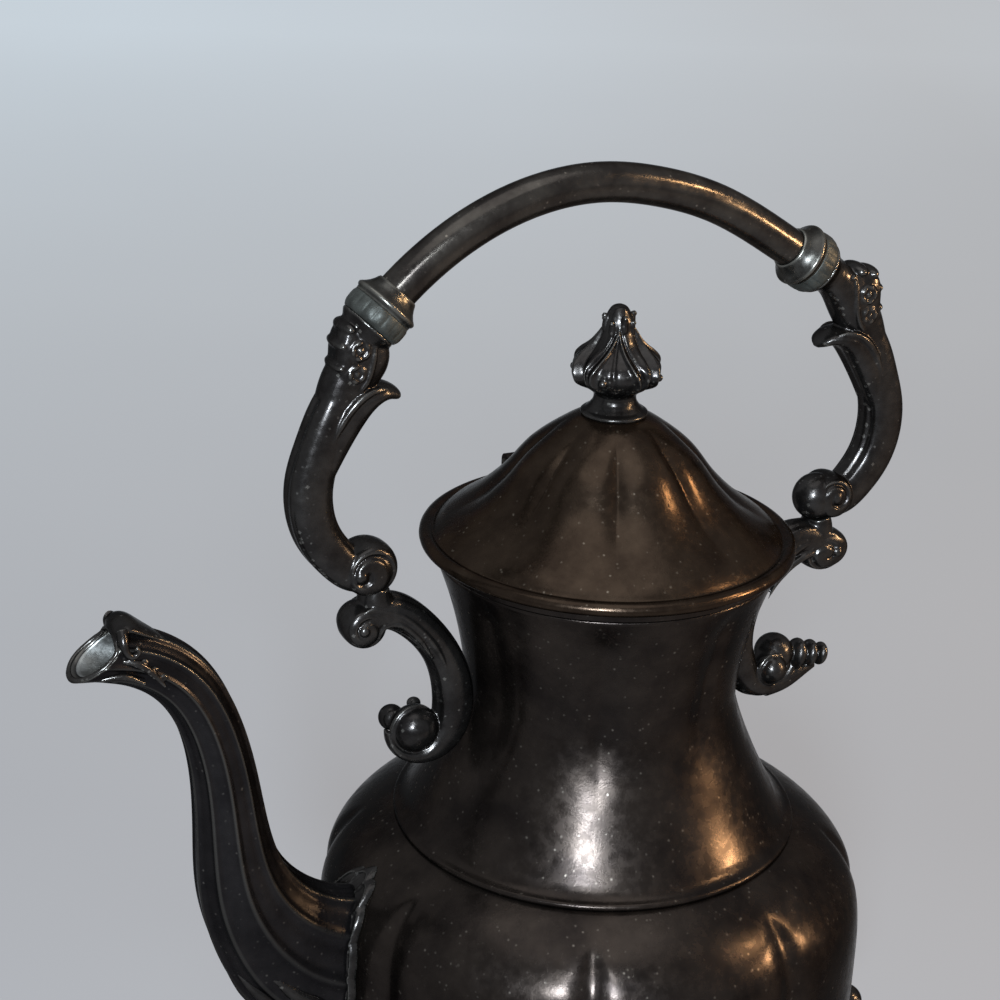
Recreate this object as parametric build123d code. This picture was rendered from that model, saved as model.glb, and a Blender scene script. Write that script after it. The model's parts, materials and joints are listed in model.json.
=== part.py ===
from build123d import *
import os
from math import atan2, cos, degrees, hypot, radians, sin

# Spirit kettle on its stand.  Millimetres.  The model is laid out about the kettle's upright axis
# with the spout towards -X and the handle in the XZ plane; heights are measured from the table.

# ---- fits -------------------------------------------------------------------------------------
solder_gap = 0.05        # film between two soldered or screwed pieces of one body
moving_gap = 0.3         # room between pieces that move past each other
pin_clearance = 0.06     # radial running fit of a pin in its bore
sheet = 1.3              # thickness of the raised and spun metal

# ---- kettle body: a melon of eight lobes ------------------------------------------------------
lobe_count = 8
lobe_turn = -5.0         # the lobes of body and neck are turned this far about the axis
base_height = 110.0      # underside of the body above the table
base_radius = 40.0
belly_rise = 48.0        # base to belly
belly_radius = 67.2
shoulder_rise = 79.7     # base to shoulder
shoulder_radius = 48.7
belly_fullness = 3.6     # exponent of the melon curve: higher is squarer
body_crease = 2.6        # depth of the creases between the lobes at the belly
dart_drop = 4.5          # how far under the shoulder each crease starts as a point
dart_run = 24.0          # height over which the crease reaches its full depth
foot_height = 5.5
foot_flare = 4.0
foot_width = 2.6
belly_height = base_height + belly_rise
shoulder_height = base_height + shoulder_rise

# ---- neck -------------------------------------------------------------------------------------
neck_foot_radius = shoulder_radius - 1.4
waist_rise = 35.3        # shoulder to waist
waist_radius = 32.8
neck_rise = 67.3         # shoulder to mouth
mouth_radius = 40.2
neck_lower_curve = 1.5
neck_upper_curve = 1.65
neck_crease = 0.9
neck_bead = 1.3          # radius of the bead round the foot of the neck
seat_height = 2.7        # the ring round the mouth that carries the lid
seat_bore = mouth_radius - 2.6
seat_lip = 0.6           # how far the seat ring stands out past the neck
waist_height = shoulder_height + waist_rise
mouth_height = shoulder_height + neck_rise

# ---- lid --------------------------------------------------------------------------------------
lid_radius = mouth_radius + 2.2
lid_rise = 30.0
lid_turn = -2.0
lid_bead = 1.4
lid_crease = 1.3
lid_bore_inset = 3.2     # the opening under the lid's rim is this much smaller than the lid
lid_outline = [(0.0, 1.0), (0.123, 0.91), (0.307, 0.73), (0.507, 0.585), (0.69, 0.485), (0.857, 0.36),
               (0.953, 0.28), (1.0, 0.18)]
lid_crease_share = [0.0, 0.6, 1.0, 1.0, 0.9, 0.6, 0.3, 0.0]
bezel_radius = seat_bore - 1.8
bezel_depth = 8.0
bezel_wall = 1.0
bezel_flange = 0.8
lid_height = mouth_height + seat_height + moving_gap + bezel_flange

# ---- lid hinge, on the +Y side ----------------------------------------------------------------
hinge_y = lid_radius + lid_bead + 1.9
hinge_height = lid_height + 2 * lid_bead
hinge_pin_radius = 0.8
knuckle_radius = 2.0
hinge_width = 9.0
lid_knuckle_width = 3.8
strap_thickness = 1.6
lid_strap_width = 5.4
lid_strap_reach = 9.0

# ---- finial: a lotus bud on a waisted stem ----------------------------------------------------
finial_height = lid_height + lid_rise
finial_base_radius = 7.4
finial_base_height = 1.8
finial_waist_radius = 4.8
finial_waist_height = 3.4
bud_radius = 10.1
bud_petals = 8
bud_crease = 1.5
bud_height = 19.5
bud_outline = [(0.0, 0.50), (0.12, 0.80), (0.22, 0.96), (0.33, 1.0), (0.44, 0.92), (0.56, 0.71), (0.67, 0.51),
               (0.78, 0.39), (0.91, 0.31), (1.0, 0.12)]
stud_radius = 1.5
nut_radius = 3.4
nut_height = 2.4

# ---- spout: places are measured from its root on the belly ------------------------------------
spout_root = (-(belly_radius - 9.2), belly_height + 2)
spout_run = [(0, 0), (-16, 6.5), (-27, 18), (-32.6, 30), (-34.6, 42), (-36.2, 57), (-39.2, 71.5),
             (-46.6, 84.2), (-56.5, 90.3), (-75, 92.6)]
spout_sizes = [(9.6, 19), (9.6, 17.7), (9.6, 13.8), (9, 10.4), (7.9, 8.4), (7, 7.2), (6.5, 6.6), (6.4, 6.4),
               (6.3, 6.3), (6.3, 6.3)]   # outer half sizes along Y and in the plane, evenly spaced
spout_crease = 0.45
spout_wall = 1.3
spout_lip_run = (-60.2, 97.8)
spout_tip_run = (-71.1, 87.1)
brow_radius = 2.4
brow_width = 8.5
collar_rise = 3.0        # middle of the collar above the root
collar_height = 42.0
collar_width = 23.6
collar_thickness = 2.2
collar_lobes = 12
collar_lobe_radius = 3.0
strainer_hole = 2.2
strainer_ring = 6.4
strainer_rise = 10.0     # middle of the strainer above the root

# ---- handle: places are measured from the arm's lower ball ------------------------------------
ball_place = (lid_radius + lid_bead + 13.6, lid_height + 1.6)
ball_radius = 5.8
grip_run = [(-0.981, 59.9), (-0.861, 66.3), (-0.58, 76.5), (-0.376, 80.6), (-0.113, 82.3), (0.141, 80.3),
            (0.408, 75.3), (0.672, 66.8), (0.814, 61.6)]   # (share of the ball's reach, rise over the ball)
grip_radius = 4.45
ferrule_radius = grip_radius + 3.05
ferrule_length = 1.6     # past the end of the grip
ferrule_socket = 3.6     # back along the grip
band_length = 4.4
cone_length = 4.8
cone_end_radius = grip_radius
shank_radius = cone_end_radius - 0.35
handle_stud_radius = 1.1
block_run = (8.7, 48.8)
block_size = (9, 13.4)
block_depth = 9.4
block_tilt = -7.0
block_round = 1.2
arm_run = [(10, 43.6), (13.3, 32.4), (16.9, 20), (16.2, 11), (11.8, 4), (3, -1.4)]
arm_sizes = [(9, 10), (9, 11.4), (9.4, 12), (9.6, 12), (9, 11.6), (7.4, 8.4)]
leaf_run = [(11.2, 36.6), (4.2, 40.6), (-2.4, 38.8)]
leaf_sizes = [(8.4, 6.0), (7.6, 4.2), (3.0, 1.2)]

# ---- scroll brackets: the upper part hangs from the arm's ball, the lower sits on the waist ---
bracket_top_run = [(2.9, -8.2), (-5.8, -12.8), (-11.9, -19.4)]
bracket_foot_run = [(7.2, 9), (5.1, 0), (8.2, -9.2), (16.2, -13.4)]
bracket_sizes = [(9.4, 7.4), (9.2, 9), (9, 10), (8.8, 12), (8.4, 12), (7.6, 8), (6, 5)]
upper_volute_run = (3.7, -13.8)
upper_volute_radius = 6.6
upper_volute_width = 9.6
volute_round = 1.8
lower_volute_run = (16.5, -5.8)
lower_volute_radius = 6.0
tail_beads = [((24.4, -5.2), 4.3), ((29.7, -6.0), 3.5), ((32.8, -6.8), 2.2)]
back_bead_run = (-1.9, 6.0, 2.5)
back_bead_radius = 4.2

# ---- lugs and pins that carry the kettle ------------------------------------------------------
lug_root_rise = 19.5     # base to the middle of a lug's root
lug_sink = 7.7           # how far the lug's root is drawn inside the belly before it is trimmed
lug_overhang = 4.6       # the pin stands this far out from the belly at the root
pin_height = base_height + 6
pin_radius = 2.2
lug_thickness = 6.0
lug_radius = pin_radius + 2.8
ear_thickness = 4.0
ear_radius = pin_radius + 3.0
pin_overhang = 1.2
pin_knob_radius = 3.6

# ---- stand: the ring hangs under the pins, the legs from the ring -----------------------------
ring_inset = 5.5
ring_drop = 36.0
ring_wall = 3.6
ring_height = 9.0
leg_run = [(-2, 1.05), (8, 0.95), (11.5, 0.775), (5, 0.563), (1.5, 0.363), (5.5, 0.175), (12.5, 0.063)]
leg_sizes = [(9, 8), (10, 10), (9.6, 10.5), (8, 8.4), (6.6, 6.6), (6.6, 6.4), (8, 6)]
foot_out = 14.5
foot_pad = (10.5, 9.0, 7.5)
post_foot_run = [(-2, 4), (7, 7)]
post_head_run = [(7.4, -20.5), (4.8, -11.5), (0.2, -8.5)]
post_sizes = [(9, 7), (9.4, 7.6), (9.4, 7.6), (11, 7), (14.5, 6.4)]
post_scroll_run = [(5.5, -19), (10.8, -13), (15.4, -7)]
post_scroll_sizes = [(7, 5), (6.4, 4.6), (5, 4)]
post_ball_run = (15.6, -6.4)
post_ball_radius = 4.5
post_web = 4.8

# ---- burner -----------------------------------------------------------------------------------
cradle_bore = 27.2
cradle_wall = 4.0
cradle_bottom = 30.0
cradle_height = 4.5
stretcher_run = [(0, 2.4), (0.3, -0.8), (0.65, 0.4), (1, 5.5)]   # (share of the way out, rise)
stretcher_sizes = [(5.2, 4.2), (4.8, 4.0), (4.8, 4.0), (5.0, 4.4)]
stretcher_sink = 3.0
font_radius = cradle_bore - 0.8
font_floor = 19.0
font_flange = cradle_bore + 3
font_flange_height = 1.4
font_rise = 10.2
font_wall = 1.2
filler_radius = 9.0
burner_cap_radius = filler_radius + 2.8
burner_cap_height = 4.5
burner_plug_depth = 3.6
wick_tube_radius = 4.6
wick_tube_wall = 0.9
wick_tube_rise = 8.5
wick_tube_drop = 9.0
wick_rise = 2.6
wick_drop = 20.0
snuffer_bore = wick_tube_radius + 2.1
snuffer_wall = 1.0
snuffer_height = 17.6
snuffer_knob_radius = 2.6


def belly_profile(height):
    """Radius of the lobes at a height on the melon-shaped body."""
    if height >= belly_height:
        end_radius = shoulder_radius
        rise = (height - belly_height) / (shoulder_height - belly_height)
    else:
        end_radius = base_radius
        rise = (belly_height - height) / (belly_height - base_height)
    return end_radius + (belly_radius - end_radius) * (1 - rise ** belly_fullness)


def placed(run, place, side=1):
    """Points measured from a place, on the +X side or mirrored to the -X side."""
    return [(side * (place[0] + x), place[1] + z) for x, z in run]


# ---- worked-out places ------------------------------------------------------------------------
lug_root_height = base_height + lug_root_rise
lug_root = (belly_profile(lug_root_height) - lug_sink, lug_root_height)
pin_reach = belly_profile(lug_root_height) + lug_overhang
pin_place = (pin_reach, pin_height)
waist_place = (waist_radius, waist_height)
ring_radius = pin_reach - ring_inset
ring_bottom = pin_height - ring_drop
font_seat = cradle_bottom + cradle_height + moving_gap
font_top = font_seat + font_rise
cap_low = font_top + solder_gap
cap_top = cap_low + burner_cap_height
spout_line = placed(spout_run, spout_root)
spout_lip = placed([spout_lip_run], spout_root)[0]
spout_tip = placed([spout_tip_run], spout_root)[0]
post_ball = placed([post_ball_run], pin_place)[0]
frame_shift = (-spout_tip[0] - post_ball[0] - post_ball_radius) / 2


def at_angle(radius, degrees_round):
    return (radius * cos(radians(degrees_round)), radius * sin(radians(degrees_round)))


def lobed_ring(lobe_radius, crease_depth, lobes, squeeze=1.0):
    """Flat outline of one arc per lobe, full in the middle of the lobe and low at each crease.

    squeeze below 1 narrows it along its first axis.
    """
    step = 360 / lobes
    low = lobe_radius - crease_depth
    arcs = []
    for lobe in range(lobes):
        middle = lobe * step
        points = []
        for radius, turn in ((low, -step / 2), (lobe_radius, 0), (low, step / 2)):
            across, up = at_angle(radius, middle + turn)
            points.append((squeeze * across, up))
        arcs.append(ThreePointArc(*points))
    return make_face(Curve() + arcs)


def lobed_solid(stations, lobes=lobe_count):
    """Loft through flat lobed outlines: each station is (height, lobe radius, crease depth)."""
    rings = []
    for height, lobe_radius, crease_depth in stations:
        rings.append(Pos(0, 0, height) * lobed_ring(lobe_radius, crease_depth, lobes))
    return loft(rings)


def turned(outline):
    """Solid of revolution about the upright axis from (radius, height) points."""
    profile = Plane.XZ * make_face(Polyline([(r, z) for r, z in outline], close=True))
    return revolve(profile, Axis.Z)


def bar(line, sizes, spread=0.0):
    """Loft of ellipses square to a smooth curve in the XZ plane.

    sizes holds (size along Y, size in the plane), evenly spaced along the curve; spread adds to both.
    """
    path = Spline([(x, 0, z) for x, z in line])
    sections = []
    for index, (across, thickness) in enumerate(sizes):
        place = index / (len(sizes) - 1)
        plane = Plane(origin=path @ place, x_dir=(0, 1, 0), z_dir=path % place)
        sections.append(plane * Ellipse(across / 2 + spread, thickness / 2 + spread))
    return loft(sections)


def rod_y(x, z, radius, start, end):
    """Round bar parallel to Y."""
    return extrude(Plane(origin=(x, start, z), x_dir=(1, 0, 0), z_dir=(0, 1, 0)) * Circle(radius),
                   end - start)


# ---- kettle -----------------------------------------------------------------------------------
def belly_crease(height):
    """Depth of the creases: they start under the shoulder, deepen, and fade again to the base."""
    below = min(max((shoulder_height - dart_drop - height) / dart_run, 0), 1)
    above = min(max((height - base_height) / dart_run, 0), 1)
    return body_crease * below ** 2 * (3 - 2 * below) * above ** 0.5


def body_form(spread, floor=0.0):
    """The melon as a solid, grown by spread, starting floor above its base."""
    heights = [base_height + floor]
    for share in (0.14, 0.32, 0.54, 0.78):
        heights.append(base_height + share * (belly_height - base_height))
    for share in (0.0, 0.26, 0.5, 0.72, 0.88, 1.0):
        heights.append(belly_height + share * (shoulder_height - belly_height))
    melon = lobed_solid([(z, belly_profile(z) + spread, belly_crease(z)) for z in heights])
    return Rot(0, 0, lobe_turn) * melon


def neck_profile(height):
    if height < waist_height:
        fall = (waist_height - height) / (waist_height - shoulder_height)
        return waist_radius + (neck_foot_radius - waist_radius) * fall ** neck_lower_curve
    rise = (height - waist_height) / (mouth_height - waist_height)
    return waist_radius + (mouth_radius - waist_radius) * rise ** neck_upper_curve


def neck_crease_at(height):
    share = (height - shoulder_height) / (mouth_height - shoulder_height)
    return neck_crease * max(0, 4 * share * (1 - share))


def neck_form(spread):
    heights = [shoulder_height + share * (mouth_height - shoulder_height)
               for share in (0, 0.08, 0.18, 0.32, 0.46, 0.6, 0.74, 0.88, 1)]
    flare = lobed_solid([(z, neck_profile(z) + spread, neck_crease_at(z)) for z in heights])
    return Rot(0, 0, lobe_turn) * flare


def strainer():
    """Seven holes through the body wall behind the spout."""
    z = spout_line[0][1] + strainer_rise
    holes = [(0, 0)] + [at_angle(strainer_ring, 60 * turn) for turn in range(6)]
    cutter = Part()
    for y, dz in holes:
        plane = Plane(origin=(-belly_radius - 10, y, z + dz), x_dir=(0, 1, 0), z_dir=(1, 0, 0))
        cutter += extrude(plane * Circle(strainer_hole), 40)
    return cutter


def girth_slab(side):
    """Everything above (side 1) or below (side -1) the soldered seam at the belly."""
    size = 4 * belly_radius
    middle = belly_height + side * (size + solder_gap) / 2
    return Pos(0, 0, middle) * Box(size, size, size)


def kettle_body():
    """Upper pressing of the melon, from the belly's seam to the shoulder."""
    shell = body_form(0) - body_form(-sheet, sheet)
    return (shell & girth_slab(1)) - strainer()


def body_base():
    """Lower pressing of the melon: a bowl with a flat bottom."""
    shell = body_form(0) - body_form(-sheet, sheet)
    return shell & girth_slab(-1)


def foot_ring():
    return turned([(base_radius - foot_width, base_height), (base_radius, base_height),
                   (base_radius + 0.6, base_height - 0.45 * foot_height),
                   (base_radius + foot_flare, base_height - 0.8 * foot_height),
                   (base_radius + foot_flare, base_height - foot_height),
                   (base_radius + foot_flare - foot_width, base_height - foot_height),
                   (base_radius - foot_width + 0.8, base_height - 0.5 * foot_height)])


def kettle_neck():
    bead_height = shoulder_height + neck_bead
    bead = Pos(0, 0, bead_height) * Torus(neck_foot_radius - 0.2, neck_bead)
    return neck_form(0) + bead - neck_form(-sheet)


def neck_seat():
    top = mouth_height + seat_height
    rim = mouth_radius + seat_lip
    return turned([(seat_bore, mouth_height), (rim - 0.5, mouth_height), (rim, mouth_height + 0.5),
                   (rim, top - 0.5), (rim - 0.5, top), (seat_bore, top)])


# ---- spout ------------------------------------------------------------------------------------
def spout_form(shrink, crease):
    path = Spline([(x, 0, z) for x, z in spout_line])
    sections = []
    for index, (across, up) in enumerate(spout_sizes):
        place = index / (len(spout_sizes) - 1)
        plane = Plane(origin=path @ place, x_dir=(0, 1, 0), z_dir=path % place)
        if crease:
            squeeze = (across - shrink) / (up - shrink)
            sections.append(plane * lobed_ring(up - shrink, crease, lobe_count, squeeze))
        else:
            sections.append(plane * Ellipse(across - shrink, up - shrink))
    return loft(sections)


def mouth_cutter():
    """Block above the slanting mouth of the spout."""
    run = spout_tip[0] - spout_lip[0]
    drop = spout_tip[1] - spout_lip[1]
    slope = degrees(atan2(-drop, -run))
    middle = ((spout_tip[0] + spout_lip[0]) / 2, (spout_tip[1] + spout_lip[1]) / 2)
    size = 60
    block = Pos(0, 0, size / 2) * Box(size, size, size)
    return Pos(middle[0], 0, middle[1]) * Rot(0, -slope, 0) * block


def spout():
    tube = spout_form(0, spout_crease) - spout_form(spout_wall, 0)
    tube -= mouth_cutter()
    x, z = spout_lip
    tube += rod_y(x + brow_radius + 0.4, z - brow_radius + 1.6, brow_radius, -brow_width / 2, brow_width / 2)
    return tube - body_form(solder_gap)


def collar_outline():
    """Scalloped plate seen along X, cut through for the spout."""
    plate = Ellipse(collar_width / 2, collar_height / 2)
    scallops = Sketch() + plate
    for lobe in range(collar_lobes):
        y, z = at_angle(1, 360 * lobe / collar_lobes)
        scallops += Pos(y * collar_width / 2, z * collar_height / 2) * Circle(collar_lobe_radius)
    return scallops


def spout_collar():
    x, z = spout_line[0]
    plane = Plane(origin=(x + 20, 0, z + collar_rise), x_dir=(0, 1, 0), z_dir=(-1, 0, 0))
    plate = extrude(plane * collar_outline(), 60)
    shell = body_form(solder_gap + collar_thickness) - body_form(solder_gap)
    return (plate & shell) - spout_form(-solder_gap, spout_crease)


# ---- handle -----------------------------------------------------------------------------------
def grip_path():
    reach, height = ball_place
    return Spline([(share * reach, 0, height + rise) for share, rise in grip_run])


def grip_end(side):
    """Plane at an end of the grip, its normal pointing out along the bar; side is -1 or 1."""
    path = grip_path()
    place = 0 if side < 0 else 1
    outward = (path % place) * side
    return Plane(origin=path @ place, x_dir=(0, 1, 0), z_dir=outward)


def along(plane, distance):
    return plane.offset(distance)


def handle_grip():
    path = grip_path()
    return sweep(Plane(origin=path @ 0, z_dir=path % 0) * Circle(grip_radius), path)


def turned_on(plane, outline):
    """Revolve (radius, distance) points about a plane's normal."""
    solid = turned(outline)
    return plane.location * solid


def stud_hole(side, clearance=solder_gap):
    start = along(grip_end(side), 0)
    length = ferrule_length + band_length + cone_length
    return extrude(start * Circle(handle_stud_radius + clearance), length)


def ferrule(side):
    bore = grip_radius + solder_gap
    back = -ferrule_socket
    outline = [(bore, back), (bore + 0.6, back), (bore + 1.2, 0.6 * back), (ferrule_radius, 0.1),
               (ferrule_radius, ferrule_length - 0.6), (ferrule_radius - 0.5, ferrule_length),
               (0, ferrule_length), (0, solder_gap), (bore, solder_gap)]
    return turned_on(grip_end(side), outline) - stud_hole(side)


def insulator(side):
    plane = along(grip_end(side), ferrule_length + solder_gap)
    outline = [(0, 0), (ferrule_radius - 0.2, 0), (ferrule_radius - 0.2, band_length - 0.8),
               (ferrule_radius - 0.9, band_length), (0, band_length)]
    return turned_on(plane, outline) - stud_hole(side)


def arm_socket(side):
    plane = along(grip_end(side), ferrule_length + band_length + 2 * solder_gap)
    outline = [(0, 0), (ferrule_radius - 0.9, 0), (cone_end_radius, cone_length), (0, cone_length)]
    return turned_on(plane, outline), plane


def arm_ball(side, spread=0.0):
    return Pos(side * ball_place[0], 0, ball_place[1]) * Sphere(ball_radius + spread)


def handle_arm(side):
    socket, socket_plane = arm_socket(side)
    block_x, block_z = placed([block_run], ball_place, side)[0]
    block = Pos(block_x, 0, block_z) * Rot(0, -side * block_tilt, 0)
    block = block * Box(block_size[0], block_depth, block_size[1])
    block = fillet(block.edges(), block_round)
    shank = loft([along(socket_plane, 0.6 * cone_length) * Circle(shank_radius),
                  Plane(origin=(block_x, 0, block_z), x_dir=(0, 1, 0),
                        z_dir=socket_plane.z_dir) * Circle(shank_radius)])
    arm = bar(placed(arm_run, ball_place, side), arm_sizes)
    leaf = bar(placed(leaf_run, ball_place, side), leaf_sizes)
    return arm + arm_ball(side) + leaf + block + shank + socket - stud_hole(side)


def handle_studs():
    length = ferrule_length + band_length + cone_length - 1
    studs = Part()
    for side in (-1, 1):
        plane = along(grip_end(side), 0.5)
        studs += extrude(plane * Circle(handle_stud_radius), length - 0.5)
    return studs


def bracket(side):
    """Cast C-scroll soldered to the neck, with the handle arm's ball seated on its upper volute."""
    line = placed(bracket_top_run, ball_place, side) + placed(bracket_foot_run, waist_place, side)
    x, z = placed([upper_volute_run], ball_place, side)[0]
    half = upper_volute_width / 2
    volute = rod_y(x, z, upper_volute_radius, -half, half)
    volute = fillet(volute.edges(), volute_round)
    x, z = placed([lower_volute_run], waist_place, side)[0]
    solid = bar(line, bracket_sizes) + volute + Pos(x, 0, z) * Sphere(lower_volute_radius)
    if side > 0:
        for run, radius in tail_beads:
            bead_x, bead_z = placed([run], waist_place)[0]
            solid += Pos(bead_x, 0, bead_z) * Sphere(radius)
    else:
        out, back, up = back_bead_run
        solid += Pos(x + out, back, z + up) * Sphere(back_bead_radius)
    arm = bar(placed(arm_run, ball_place, side), arm_sizes, solder_gap) + arm_ball(side, solder_gap)
    return solid - arm - neck_form(solder_gap)


# ---- lid --------------------------------------------------------------------------------------
def lid_form(spread, lowered=0.0):
    stations = []
    for (rise, width), share in zip(lid_outline, lid_crease_share):
        stations.append((lid_height + rise * lid_rise - lowered, width * lid_radius + spread, lid_crease * share))
    return Rot(0, 0, lid_turn) * lobed_solid(stations)


def lid_shell():
    bead = Pos(0, 0, lid_height) * Torus(lid_radius, lid_bead)
    dome = lid_form(0) + bead - lid_form(-0.5 * sheet, sheet)
    stud = Pos(0, 0, finial_height) * Cylinder(stud_radius + solder_gap, 3 * sheet)
    return dome - stud - Pos(0, 0, lid_height - 10) * Cylinder(lid_radius - lid_bore_inset, 20)


def lid_bezel():
    inner = bezel_radius - bezel_wall
    bottom = lid_height - bezel_flange - bezel_depth
    return turned([(inner, bottom), (bezel_radius, bottom), (bezel_radius, lid_height - bezel_flange),
                   (lid_radius - lid_bead - 0.4, lid_height - bezel_flange),
                   (lid_radius - lid_bead - 0.4, lid_height - solder_gap), (inner, lid_height - solder_gap)])


def knuckle(start, end, radius=knuckle_radius):
    plane = Plane(origin=(start, hinge_y, hinge_height), x_dir=(0, 1, 0), z_dir=(1, 0, 0))
    return extrude(plane * Circle(radius), end - start)


def hinge_lid_leaf():
    half = lid_knuckle_width / 2
    top = hinge_height + knuckle_radius
    tongue = Pos(0, hinge_y - 2, top - 0.9) * Box(lid_knuckle_width, 4, 1.8)
    pad_front = hinge_y - lid_strap_reach
    pad_back = hinge_y - knuckle_radius - 2 * moving_gap
    pad = Pos(0, (pad_front + pad_back) / 2, top - 1.6) * Box(lid_strap_width, pad_back - pad_front, 3.2)
    link = Pos(0, hinge_y - 2.5, top - 0.9) * Box(lid_knuckle_width, 3.4, 1.8)
    leaf = knuckle(-half, half) + tongue + link + pad
    bead = Pos(0, 0, lid_height) * Torus(lid_radius, lid_bead + solder_gap)
    bore = knuckle(-half - 1, half + 1, hinge_pin_radius + pin_clearance)
    return leaf - lid_form(solder_gap) - bead - bore


def hinge_neck_leaf():
    half = hinge_width / 2
    slot = lid_knuckle_width / 2 + moving_gap
    inner_y = mouth_radius + seat_lip + solder_gap
    outer_y = hinge_y + knuckle_radius
    strap_z = mouth_height + 0.3
    strap = Pos(0, (inner_y - 2 + outer_y) / 2, strap_z + strap_thickness / 2)
    leaf = strap * Box(hinge_width, outer_y - inner_y + 2, strap_thickness)
    rise = hinge_height - strap_z
    leaf += Pos(0, outer_y - strap_thickness / 2, strap_z + rise / 2) * Box(hinge_width, strap_thickness, rise)
    leaf += knuckle(-half, half)
    leaf -= Pos(0, hinge_y, hinge_height) * Box(2 * slot, 3 * knuckle_radius, 2 * knuckle_radius + 2 * moving_gap)
    seat = Pos(0, 0, mouth_height + seat_height / 2) * Cylinder(inner_y, seat_height * 2)
    return leaf - seat - knuckle(-half - 1, half + 1, hinge_pin_radius + solder_gap)


def hinge_pin():
    half = hinge_width / 2
    return knuckle(-half - 0.4, half + 0.4, hinge_pin_radius)


def finial():
    start = finial_height + finial_base_height
    foot = turned([(0, start + solder_gap), (finial_waist_radius + 1.4, start + solder_gap),
                   (finial_waist_radius + 1.4, start + 1.2), (finial_waist_radius, start + 2.4),
                   (finial_waist_radius, start + finial_waist_height), (0, start + finial_waist_height)])
    bud_start = start + finial_waist_height
    bud = lobed_solid([(bud_start + rise * bud_height, width * bud_radius, bud_crease * width)
                       for rise, width in bud_outline], bud_petals)
    tip = Pos(0, 0, bud_start + bud_height) * Sphere(bud_outline[-1][1] * bud_radius)
    stud_length = finial_base_height + 2 * sheet + nut_height
    stud = Pos(0, 0, start - stud_length / 2 + 0.5) * Cylinder(stud_radius, stud_length + 1)
    return foot + bud + tip + stud


def finial_base():
    low = finial_height + solder_gap
    washer = turned([(0, low), (finial_base_radius - 0.5, low), (finial_base_radius, low + 0.5),
                     (finial_base_radius - 0.3, low + 1.0), (finial_base_radius - 1.2, low + finial_base_height - 0.05),
                     (0, low + finial_base_height - 0.05)])
    return washer - Pos(0, 0, low) * Cylinder(stud_radius + solder_gap, 10)


def finial_nut():
    top = finial_height - sheet - solder_gap
    blank = Pos(0, 0, top - nut_height) * extrude(RegularPolygon(nut_radius, 6), nut_height)
    return blank - Pos(0, 0, top) * Cylinder(stud_radius + solder_gap, 10)


# ---- lugs and pins ----------------------------------------------------------------------------
def lug(side):
    """Tongue soldered under the belly, with a round eye for its pin."""
    half = lug_thickness / 2
    x, z = lug_root
    run = hypot(pin_reach - x, z - pin_height)
    tilt = degrees(atan2(z - pin_height, pin_reach - x))
    eye = rod_y(pin_reach, pin_height, lug_radius, -half, half)
    middle = ((pin_reach + x) / 2, (pin_height + z) / 2)
    shank = Pos(middle[0], 0, middle[1]) * Rot(0, tilt, 0) * Box(run, lug_thickness, 2 * lug_radius)
    fit = pin_clearance if side < 0 else solder_gap
    hole = rod_y(pin_reach, pin_height, pin_radius + fit, -half - 1, half + 1)
    tongue = eye + shank - hole
    if side < 0:
        tongue = mirror(tongue, Plane.YZ)
    return tongue - body_form(solder_gap)


def rest_pin():
    half = lug_thickness / 2 + moving_gap + ear_thickness + pin_overhang
    return rod_y(pin_reach, pin_height, pin_radius, -half, half)


def tilt_pin():
    half = lug_thickness / 2 + moving_gap + ear_thickness
    shaft = rod_y(-pin_reach, pin_height, pin_radius, -half - pin_knob_radius, half + pin_overhang)
    knob = Pos(-pin_reach, -half - moving_gap - pin_knob_radius, pin_height) * Sphere(pin_knob_radius)
    return shaft + knob


# ---- stand ------------------------------------------------------------------------------------
def stand_ring():
    inner = ring_radius - ring_wall
    top = ring_bottom + ring_height
    return turned([(inner, ring_bottom), (ring_radius - 0.8, ring_bottom), (ring_radius, ring_bottom + 1.2),
                   (ring_radius - 0.6, ring_bottom + 2.4), (ring_radius - 0.6, top - 2.4),
                   (ring_radius, top - 1.2), (ring_radius - 0.8, top), (inner, top)])


def ring_cutter():
    return Pos(0, 0, ring_bottom + ring_height / 2) * Cylinder(ring_radius + solder_gap, ring_height * 3)


def leg_form(spread=0.0):
    rise = foot_pad[2]
    foot_x = ring_radius + foot_out
    pad = Pos(foot_x, 0, 0) * scale(Sphere(1), (foot_pad[0] + spread, foot_pad[1] + spread, rise + spread))
    floor = Pos(foot_x, 0, -25) * Box(100, 100, 50)
    line = [(ring_radius + out, share * ring_bottom) for out, share in leg_run]
    return bar(line, leg_sizes, spread) + pad - floor


def leg(angle):
    return Rot(0, 0, angle) * (leg_form() - ring_cutter())


def post_head(closed):
    """Fork that takes a lug: closed eyes for the tilting pin, or an open saddle for the rest pin."""
    inside = lug_thickness / 2 + moving_gap
    outside = inside + ear_thickness
    ears = Part()
    for side in (-1, 1):
        start, end = sorted((side * inside, side * outside))
        ears += rod_y(pin_reach, pin_height, ear_radius, start, end)
        cheek_height = lug_radius + moving_gap + post_web
        ears += Pos(pin_reach, (start + end) / 2, pin_height - cheek_height / 2) * Box(
            2 * ear_radius - 1, ear_thickness, cheek_height)
    web_top = pin_height - lug_radius - moving_gap
    ears += Pos(pin_reach, 0, web_top - post_web / 2) * Box(2 * ear_radius - 1, 2 * outside, post_web)
    if closed:
        return ears - rod_y(pin_reach, pin_height, pin_radius + pin_clearance, -outside - 1, outside + 1)
    notch = pin_radius + moving_gap
    ears -= rod_y(pin_reach, pin_height, notch, -outside - 1, outside + 1)
    return ears - Pos(pin_reach, 0, pin_height + 10) * Box(2 * notch, 2 * outside + 2, 20)


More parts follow.
